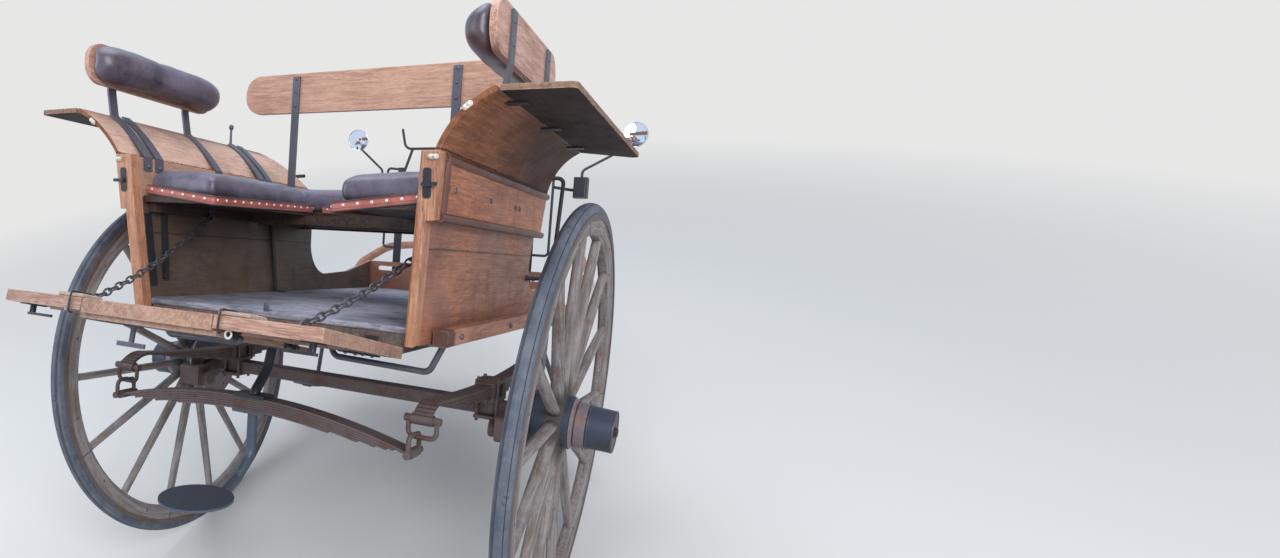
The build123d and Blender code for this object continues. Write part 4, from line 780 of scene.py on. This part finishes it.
def link_chain(side, tag):
    """Open links, each a quarter turn from the next, from the wall to the tailboard."""
    wall = Vector((CHAIN_X, side * 0.446, 1.262))
    foot = tail_point(side * CHAIN_Y, 0.325, 0.038)
    shares = [i / LINKS for i in range(LINKS + 1)]
    pts = [wall.lerp(foot, share) - Vector((0, 0, SAG * 4 * share * (1 - share))) for share in shares]
    b = Build()
    for i in range(LINKS):
        a, c = pts[i], pts[i + 1]
        t = (c - a).normalized()
        base = Vector((0, 1, 0)) if i % 2 else Vector((0, 0, 1))
        u = (base - t * base.dot(t)).normalized()
        if i % 2 == 0:
            u = (u + t.cross(u) * 0.35).normalized()
        half = (c - a).length / 2 + 0.0035
        ring = []
        for q in turns(16):
            along = math.copysign(abs(math.cos(q)) ** 0.75, math.cos(q))
            ring.append((a + c) / 2 + t * (half * along) + u * (0.0085 * math.sin(q)))
        b.tube(ring, 0.003, 6, closed=True)
    obj = piece("chain_links_" + tag, b, "chain", body=None)
    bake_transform(obj)
    return obj


chains = [link_chain(side, tag) for side, tag in SIDES]
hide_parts("stay_chains")


# Trim of the benches
def arc(cx, cy, radius, start, stop, steps=5):
    angles = [math.radians(start + (stop - start) * k / steps) for k in range(steps + 1)]
    return [(cx + radius * math.cos(q), cy + radius * math.sin(q)) for q in angles]


STRIP_LOW, STRIP_HEIGHT = 1.2815, 0.0255
# Section of the trim from its top down: share of the height, and how far it stands out
STRIP_ROWS = ((1.0, 0.0), (0.96, 0.0025), (0.86, 0.0035), (0.83, 0.0022), (0.8, 0.0035), (0.34, 0.0035),
              (0.31, 0.0022), (0.28, 0.0035), (0.14, 0.0033), (0.04, 0.0025), (0.0, 0.0))


def ribbon(b, path, lift):
    """A padded band with two sewn grooves, standing out to the right of a path seen from above."""
    rings = []
    for i, (x, y) in enumerate(path):
        a, c = path[max(0, i - 1)], path[min(len(path) - 1, i + 1)]
        t = Vector((c[0] - a[0], c[1] - a[1])).normalized()
        low = STRIP_LOW + lift(x, y)
        rings.append([Vector((x + t.y * out, y - t.x * out, low + part * STRIP_HEIGHT))
                      for part, out in STRIP_ROWS])
    b.loft(rings)


def spaced(path, step, margin=0.02):
    """Places along a path with the direction that looks out of the ribbon."""
    out, travelled, target = [], 0.0, margin
    for (ax, ay), (bx, by) in zip(path, path[1:]):
        length = math.hypot(bx - ax, by - ay)
        while length and target <= travelled + length:
            f = (target - travelled) / length
            out.append((ax + (bx - ax) * f, ay + (by - ay) * f, (by - ay) / length, -(bx - ax) / length))
            target += step
        travelled += length
    return out


def hem_lift(x, y):
    """The hems climb towards the walls and the front; the right one sags more."""
    rise = 0.118 * (abs(y) - 0.204) + 0.032 * (x + 0.58)
    return rise if y > 0 else rise - 0.009


side_path = ([(-0.5805, 0.47)] + arc(-0.568, 0.2165, 0.0125, 180, 270) + [(-0.4, 0.204), (-0.2, 0.204)]
             + arc(-0.012, 0.2165, 0.0125, 270, 360))
right_path = [(x, -y) for x, y in reversed(side_path)]
rear_path = [(0.0445, 0.19), (0.0445, 0.125)]
front_path = arc(0.4155, -0.4555, 0.03, -90, 0) + [(0.4455, 0.0)] + arc(0.4155, 0.4555, 0.03, 0, 90)
strip, nails, cordings = Build(), Build(), Build()
for path, lift in ((side_path, hem_lift), (right_path, hem_lift),
                   (rear_path, lambda x, y: 0.019), (front_path, lambda x, y: 0.0)):
    ribbon(strip, path, lift)
    for x, y, nx, ny in spaced(path, 0.043):
        nail_z = STRIP_LOW + 0.0147 + lift(x, y)
        nails.dome((x + nx * 0.0036, y + ny * 0.0036, nail_z), (nx, ny, 0), 0.0052, 0.003)
    for z in (STRIP_LOW + 0.0005, STRIP_LOW + STRIP_HEIGHT):
        cordings.tube([Vector((x + nx * 0.0026, y + ny * 0.0026, z + lift(x, y)))
                       for x, y, nx, ny in spaced(path, 0.006, 0.003)], 0.0023, 6)
piece("bench_trim", strip, "trim")
piece("bench_trim_nails", nails, "silver")
piece("bench_trim_cording", cordings, "hide")

# The flared boards' hollow outer face: three places on its arc, across and up
FLARE_ARC = (Vector((0.5311, 1.4263)), Vector((0.5851, 1.502)), Vector((0.678, 1.561)))


def flare_at(x, share):
    """A point on that face, from its foot to its top, and the direction out of it."""
    foot, middle, top = FLARE_ARC
    a, b = middle - foot, top - foot
    doubled = 2 * (a.x * b.y - a.y * b.x)
    centre = foot + Vector((b.y * a.length_squared - a.y * b.length_squared,
                            a.x * b.length_squared - b.x * a.length_squared)) / doubled
    spoke = Matrix.Rotation(-share * (foot - centre).angle(top - centre), 2) @ (foot - centre)
    at = centre + spoke * (1 - 0.0065 / spoke.length)
    out = -spoke.normalized()
    return Vector((x, at.x, at.y)), Vector((0, out.x, out.y))


# Nails that hold the arm pads' hide
pad_nails, bolts = Build(), Build()
for q in turns(34):
    end = Vector((PAD_X + max(-0.232, min(0.232, 0.3 * math.cos(q))), 0.6565, PAD_Z))
    steep = abs(math.sin(q)) >= 0.94
    rise = math.copysign(1, math.sin(q)) if steep else math.sin(q)
    rim = Vector((0.0625 * math.cos(q), 0, 0.064 * rise)).normalized()
    pad_nails.dome(end + rim * 0.0638, rim, 0.0035, 0.0022, 8)

# Coach bolts through boards and irons
STRAP_XS = (-0.56, -0.508, -0.2, 0.07, 0.122)
for x in STRAP_XS:
    bolts.dome((x, wall_at(1.398) - 0.0265, 1.398), (0, -1, 0.08), 0.006, 0.0035)
    bolts.dome((x, wall_at(1.342) + 0.0222, 1.342), (0, 1, -0.08), 0.0085, 0.0045)
for z in (1.7, 1.752, 1.8):
    bolts.dome((0.0138, 0.32, z), (-1, 0, 0), 0.006, 0.0034)
    bolts.dome((0.0444, 0.32, z), (1, 0, 0), 0.0085, 0.004)
for x in STRAP_XS:
    for share in (0.3, 0.8):
        bolts.dome(*flare_at(x, share), 0.0055, 0.0028)
for x in (-0.56, -0.2):
    for z in (1.69, 1.745):
        bolts.dome((x, 0.6735, z), (0, 1, 0), 0.006, 0.0034)
for x in (-0.4, 0.02, 0.4):
    bolts.dome((x, 0.5375 + (x + 0.49) * 0.0468, 0.9515 + (x + 0.49) * 0.0115), (0, 1, 0), 0.009, 0.005)
for y, s in ((0.32, 0.012), (0.37, 0.012), (0.32, 0.07), (0.37, 0.07)):
    bolts.dome(tail_point(y, s, -0.0042), -TAIL_IN, 0.006, 0.0036)
for z in (1.0, 1.12):
    bolts.dome((1.0664, 0.335, z), (1, 0, 0), 0.008, 0.0045)
pad_nails.mirrored()
bolts.mirrored()
piece("arm_pad_nails", pad_nails, "silver")
piece("coach_bolts", bolts, "strap")

# Nails of the floor boards, two rows a board and a little out of line
BOARD_WIDTH = 0.14
floor_nails = Build()
for k in range(11):
    for dx in (0.03, 0.11):
        for y in (0.412, 0.02):
            x = -0.565 + BOARD_WIDTH * k + dx
            if x < 1.02:
                at = (x + 0.004 * math.sin(k * 3 + y), y + 0.006 * math.sin(k * 5 + dx * 40), 0.98)
                floor_nails.dome(at, (0, 0, 1), 0.0032, 0.0009, 8)
floor_nails.mirrored()
piece("floor_nails", floor_nails, "black")

# Oval buttons on the posts and the flare ends
knobs = Build()
for at, along, out in ((rear_at(0.524, 1.411), ACROSS, BACK),
                       (Vector((-0.6825, 0.612, 1.524)), Vector((0, 0.8, 0.6)), Vector((-1, 0, -0.1)))):
    knobs.slab(at + out * 0.0045, along, along.cross(out).normalized(), (0.028, 0.013, 0.009), 0.0042)
    for shift in (0.006, -0.006):
        knobs.dome(at + out * 0.0085 + along * shift, out, 0.005, 0.003)
knobs.mirrored()
piece("white_knobs", knobs, "white")

# The ring under the tailboard's edge
eye = Build()
eye.tube([tail_point(-0.238 + 0.0085 * math.cos(q), 0.462, -0.0085 + 0.0085 * math.sin(q))
          for q in turns(18)], 0.0026, 8, closed=True)
eye.turned(tail_point(-0.238, 0.462, 0.0), -TAIL_IN, [(0, 0.006), (0.0012, 0.006), (0.002, 0.003)], 10)
eye.dome(tail_point(0.262, 0.47, -0.0002), -TAIL_IN, 0.0045, 0.004)
piece("edge_eye", eye, "white", body="tailboard")

# Pale blocks on the tailboard's free edge, each under a thin hook
HOOK_LINE = ((0.412, 0.0395), (0.418, 0.0432), (0.45, 0.0436), (0.472, 0.0436), (0.481, 0.0405),
             (0.4822, 0.03), (0.4822, 0.01), (0.4815, -0.004), (0.476, -0.0085), (0.468, -0.008))
blocks, hooks = Build(), Build()
for block_y, hook_y in ((0.252, 0.24), (-0.252, -0.222)):
    blocks.slab(tail_point(block_y, 0.44, 0.0355), TAIL_UP, ACROSS, (0.068, 0.086, 0.0105), 0.0025)
    hooks.tube([tail_point(hook_y, s, n) for s, n in HOOK_LINE], 0.0027, 8)
piece("edge_blocks", blocks, "pale", body="tailboard")
piece("edge_hooks", hooks, "black", body="tailboard")

# Eye plates and shackles at both ends of each chain
wall_plates, tail_plates = Build(), Build()
wall_plates.slab((CHAIN_X, 0.448, 1.268), (1, 0, 0), (0, 0, 1), (0.03, 0.046, 0.003), 0.001)
wall_plates.tube([Vector((CHAIN_X - 0.002, 0.4465 - 0.011 * math.sin(q), 1.2555 + 0.01 * math.cos(q)))
                  for q in turns(16)], 0.0032, 8, closed=True)
wall_plates.mirrored()
for y in (CHAIN_Y, -CHAIN_Y):
    tail_plates.slab(tail_point(y, 0.312, 0.0315), TAIL_UP, ACROSS, (0.094, 0.036, 0.0035), 0.001)
    tail_plates.tube([tail_point(y, 0.325 + 0.011 * math.cos(q), 0.034 + 0.012 * math.sin(q))
                      for q in turns(16)], 0.0034, 8, closed=True)
    for s in (0.275, 0.352):
        tail_plates.dome(tail_point(y, s, 0.0332), TAIL_IN, 0.0055, 0.0032)
piece("chain_plates_wall", wall_plates, "strap")
piece("chain_plates_tail", tail_plates, "strap", body="tailboard")

# Keeper on the floor's rear edge
keeper = Build()
keeper.slab((-0.5605, 0.004, 0.9905), (0, 1, 0), (0, 0, 1), (0.02, 0.03, 0.003), 0.0012)
keeper.slab((-0.552, 0.004, 0.9816), (1, 0, 0), (0, 1, 0), (0.02, 0.02, 0.003), 0.0012)
piece("floor_keeper", keeper, "galv")

# Pins on the flares and the bolts of the walls, as pairs of distance and radius
FLARE_PIN = [(0, 0.012), (0.003, 0.012), (0.004, 0.0055), (0.06, 0.0045), (0.064, 0.0085),
             (0.072, 0.01), (0.079, 0.008), (0.082, 0.003)]
WALL_BOLT = [(0, 0.0135), (0.004, 0.0135), (0.005, 0.0075), (0.02, 0.007),
             (0.0205, 0.0115), (0.03, 0.011), (0.032, 0.006)]
pins = Build()
pins.turned((0.07, 0.66, 1.5665), (0, 0, 1), FLARE_PIN, 12)
pins.turned((0.445, wall_at(1.104) + 0.0005, 1.104), (0, 1, 0), WALL_BOLT, 12)
pins.mirrored()
piece("pins_and_bolts", pins, "strap")

# Mirror glass and rims
MIRROR_AT = Vector((1.32, 0.733, 1.786))
MIRROR_AIM = Vector((-1.0, -0.25, -0.12)).normalized()
u = MIRROR_AIM.orthogonal().normalized()
w = MIRROR_AIM.cross(u)
glass, rims = Build(), Build()
glass.turned(MIRROR_AT + MIRROR_AIM * 0.0079, MIRROR_AIM,
             [(0, 0.0545), (0.0006, 0.0545), (0.0009, 0.0535)], 40)
rims.tube([MIRROR_AT + MIRROR_AIM * 0.008 + (u * math.cos(q) + w * math.sin(q)) * 0.0562
           for q in turns(44)], 0.0026, 8, closed=True)
glass.mirrored()
rims.mirrored()
piece("mirror_glass", glass, "glass")
piece("mirror_rims", rims, "chrome")

# Hub caps with a rolled rim, clips round the band and a nut; rivets of the felloes
HUB_NUT = [(0, 0.022), (0.002, 0.022), (0.003, 0.016), (0.0085, 0.015), (0.01, 0.011)]
fore = Vector((1, 0, 0))
for side, tag in SIDES:
    middle = Vector((0, side * HUB_Y, HUB_Z))
    axis = Vector((0, side * math.cos(CAMBER), -math.sin(CAMBER)))
    rise = Vector((0, side * math.sin(CAMBER), math.cos(CAMBER)))
    cap = Build()
    for along, radius, wire in ((0.1475, 0.0615, 0.0036), (0.076, 0.0672, 0.0028), (0.04, 0.0716, 0.0024)):
        cap.tube([middle + axis * along + (fore * math.cos(q) + rise * math.sin(q)) * radius
                  for q in turns(40)], wire, 8, closed=True)
    cap.turned(middle + axis * 0.1486, axis, HUB_NUT, 6)
    piece("hub_rings_" + tag, cap, "hub_" + tag, body="wheel_" + tag)
    rivets = Build()
    for k in range(SPOKES):
        q = 2 * math.pi * (k + 0.5) / SPOKES
        out = fore * math.cos(q) + rise * math.sin(q)
        for face in (-1, 1):
            rivets.dome(middle + out * 0.61 + axis * (face * 0.0208), axis * face, 0.0055, 0.003, 8)
    piece("felloe_rivets_" + tag, rivets, "band", body="wheel_" + tag)

# Camera: its place and its aim, and its lens in pixels of a picture of this size
PICTURE = (1280, 558)
FOCAL = 712.6
CENTRE = (343.4, 285.4)
SENSOR = 36.0
cam_at = Vector((-2.276, -1.178, 1.18))
forward = Vector((0.8775, 0.4764, -0.054)).normalized()
right = Vector((0.4791, -0.8756, 0.061)).normalized()
right = (right - forward * right.dot(forward)).normalized()
cam = bpy.data.objects.new("camera", bpy.data.cameras.new("camera"))
bpy.context.scene.collection.objects.link(cam)
basis = Matrix((right, right.cross(forward), -forward)).transposed().to_4x4()
cam.matrix_world = PARK @ Matrix.Translation(cam_at) @ basis
cam.data.sensor_width = SENSOR
cam.data.lens = FOCAL / PICTURE[0] * SENSOR
cam.data.shift_x = (PICTURE[0] / 2 - CENTRE[0]) / PICTURE[0]
cam.data.shift_y = (CENTRE[1] - PICTURE[1] / 2) / PICTURE[0]
bpy.context.scene.camera = cam

# Floor, which fades into the backdrop
PALE = (0.8, 0.8, 0.795)
FLOOR_HALF = 60
floor_mesh = bpy.data.meshes.new("floor")
floor_mesh.from_pydata([(x * FLOOR_HALF, y * FLOOR_HALF, 0) for x, y in ((-1, -1), (1, -1), (1, 1), (-1, 1))],
                       [], [(0, 1, 2, 3)])
floor = bpy.data.objects.new("floor", floor_mesh)
bpy.context.scene.collection.objects.link(floor)
floor_look = Nodes("floor_pale")
seen = floor_look.new("ShaderNodeLightPath")
direct = floor_look.math("MAXIMUM", seen.outputs["Is Camera Ray"], seen.outputs["Is Glossy Ray"])
spot = floor_look.new("ShaderNodeTexCoord").outputs["Object"]
reach = floor_look.new("ShaderNodeVectorMath", {0: spot}, operation="LENGTH").outputs["Value"]
far = floor_look.mul(floor_look.band(reach, 2.6, 6.5), direct)
glow = floor_look.new("ShaderNodeEmission", {"Color": PALE})
floor_look.blend(far, floor_look.bsdf.outputs[0], glow.outputs[0], "Material Output")
floor_mesh.materials.append(floor_look.done((0.7, 0.7, 0.695), 0.9))

# Sky: a plain pale backdrop, bluer where it is mirrored, over a soft ambient light
world = bpy.data.worlds.new("sky")
sky = Nodes("sky", world)
ambient = sky.tree.nodes["Background"]
ambient.inputs["Color"].default_value = (0.82, 0.9, 1.0, 1)
ambient.inputs["Strength"].default_value = 0.59
rays = sky.new("ShaderNodeLightPath")
glossy = rays.outputs["Is Glossy Ray"]
backdrop = sky.new("ShaderNodeBackground", {"Color": sky.mix(glossy, PALE, (0.66, 0.74, 0.92))})
direct = sky.math("MAXIMUM", rays.outputs["Is Camera Ray"], glossy)
sky.blend(direct, ambient.outputs[0], backdrop.outputs[0], "World Output")
bpy.context.scene.world = world


def area(name, at, aim, size, power, color):
    data = bpy.data.lights.new(name, "AREA")
    data.shape = "DISK"
    data.size = size
    data.energy = power
    data.color = color
    obj = bpy.data.objects.new(name, data)
    bpy.context.scene.collection.objects.link(obj)
    obj.location = at
    obj.rotation_mode = "QUATERNION"
    obj.rotation_quaternion = (Vector(aim) - Vector(at)).to_track_quat("-Z", "Y")


area("key", (-4.2, -3.4, 4.4), (-0.9, 0, 0.8), 3.0, 220, (1.0, 0.97, 0.95))
area("fill", (-3.4, 4.2, 3.4), (-0.9, 0, 0.8), 3.0, 70, (0.92, 0.96, 1.0))
area("top", (0.4, 0.5, 5.5), (-0.6, 0, 0.8), 4.0, 110, (0.96, 0.98, 1.0))
bpy.context.scene.view_settings.view_transform = "Standard"
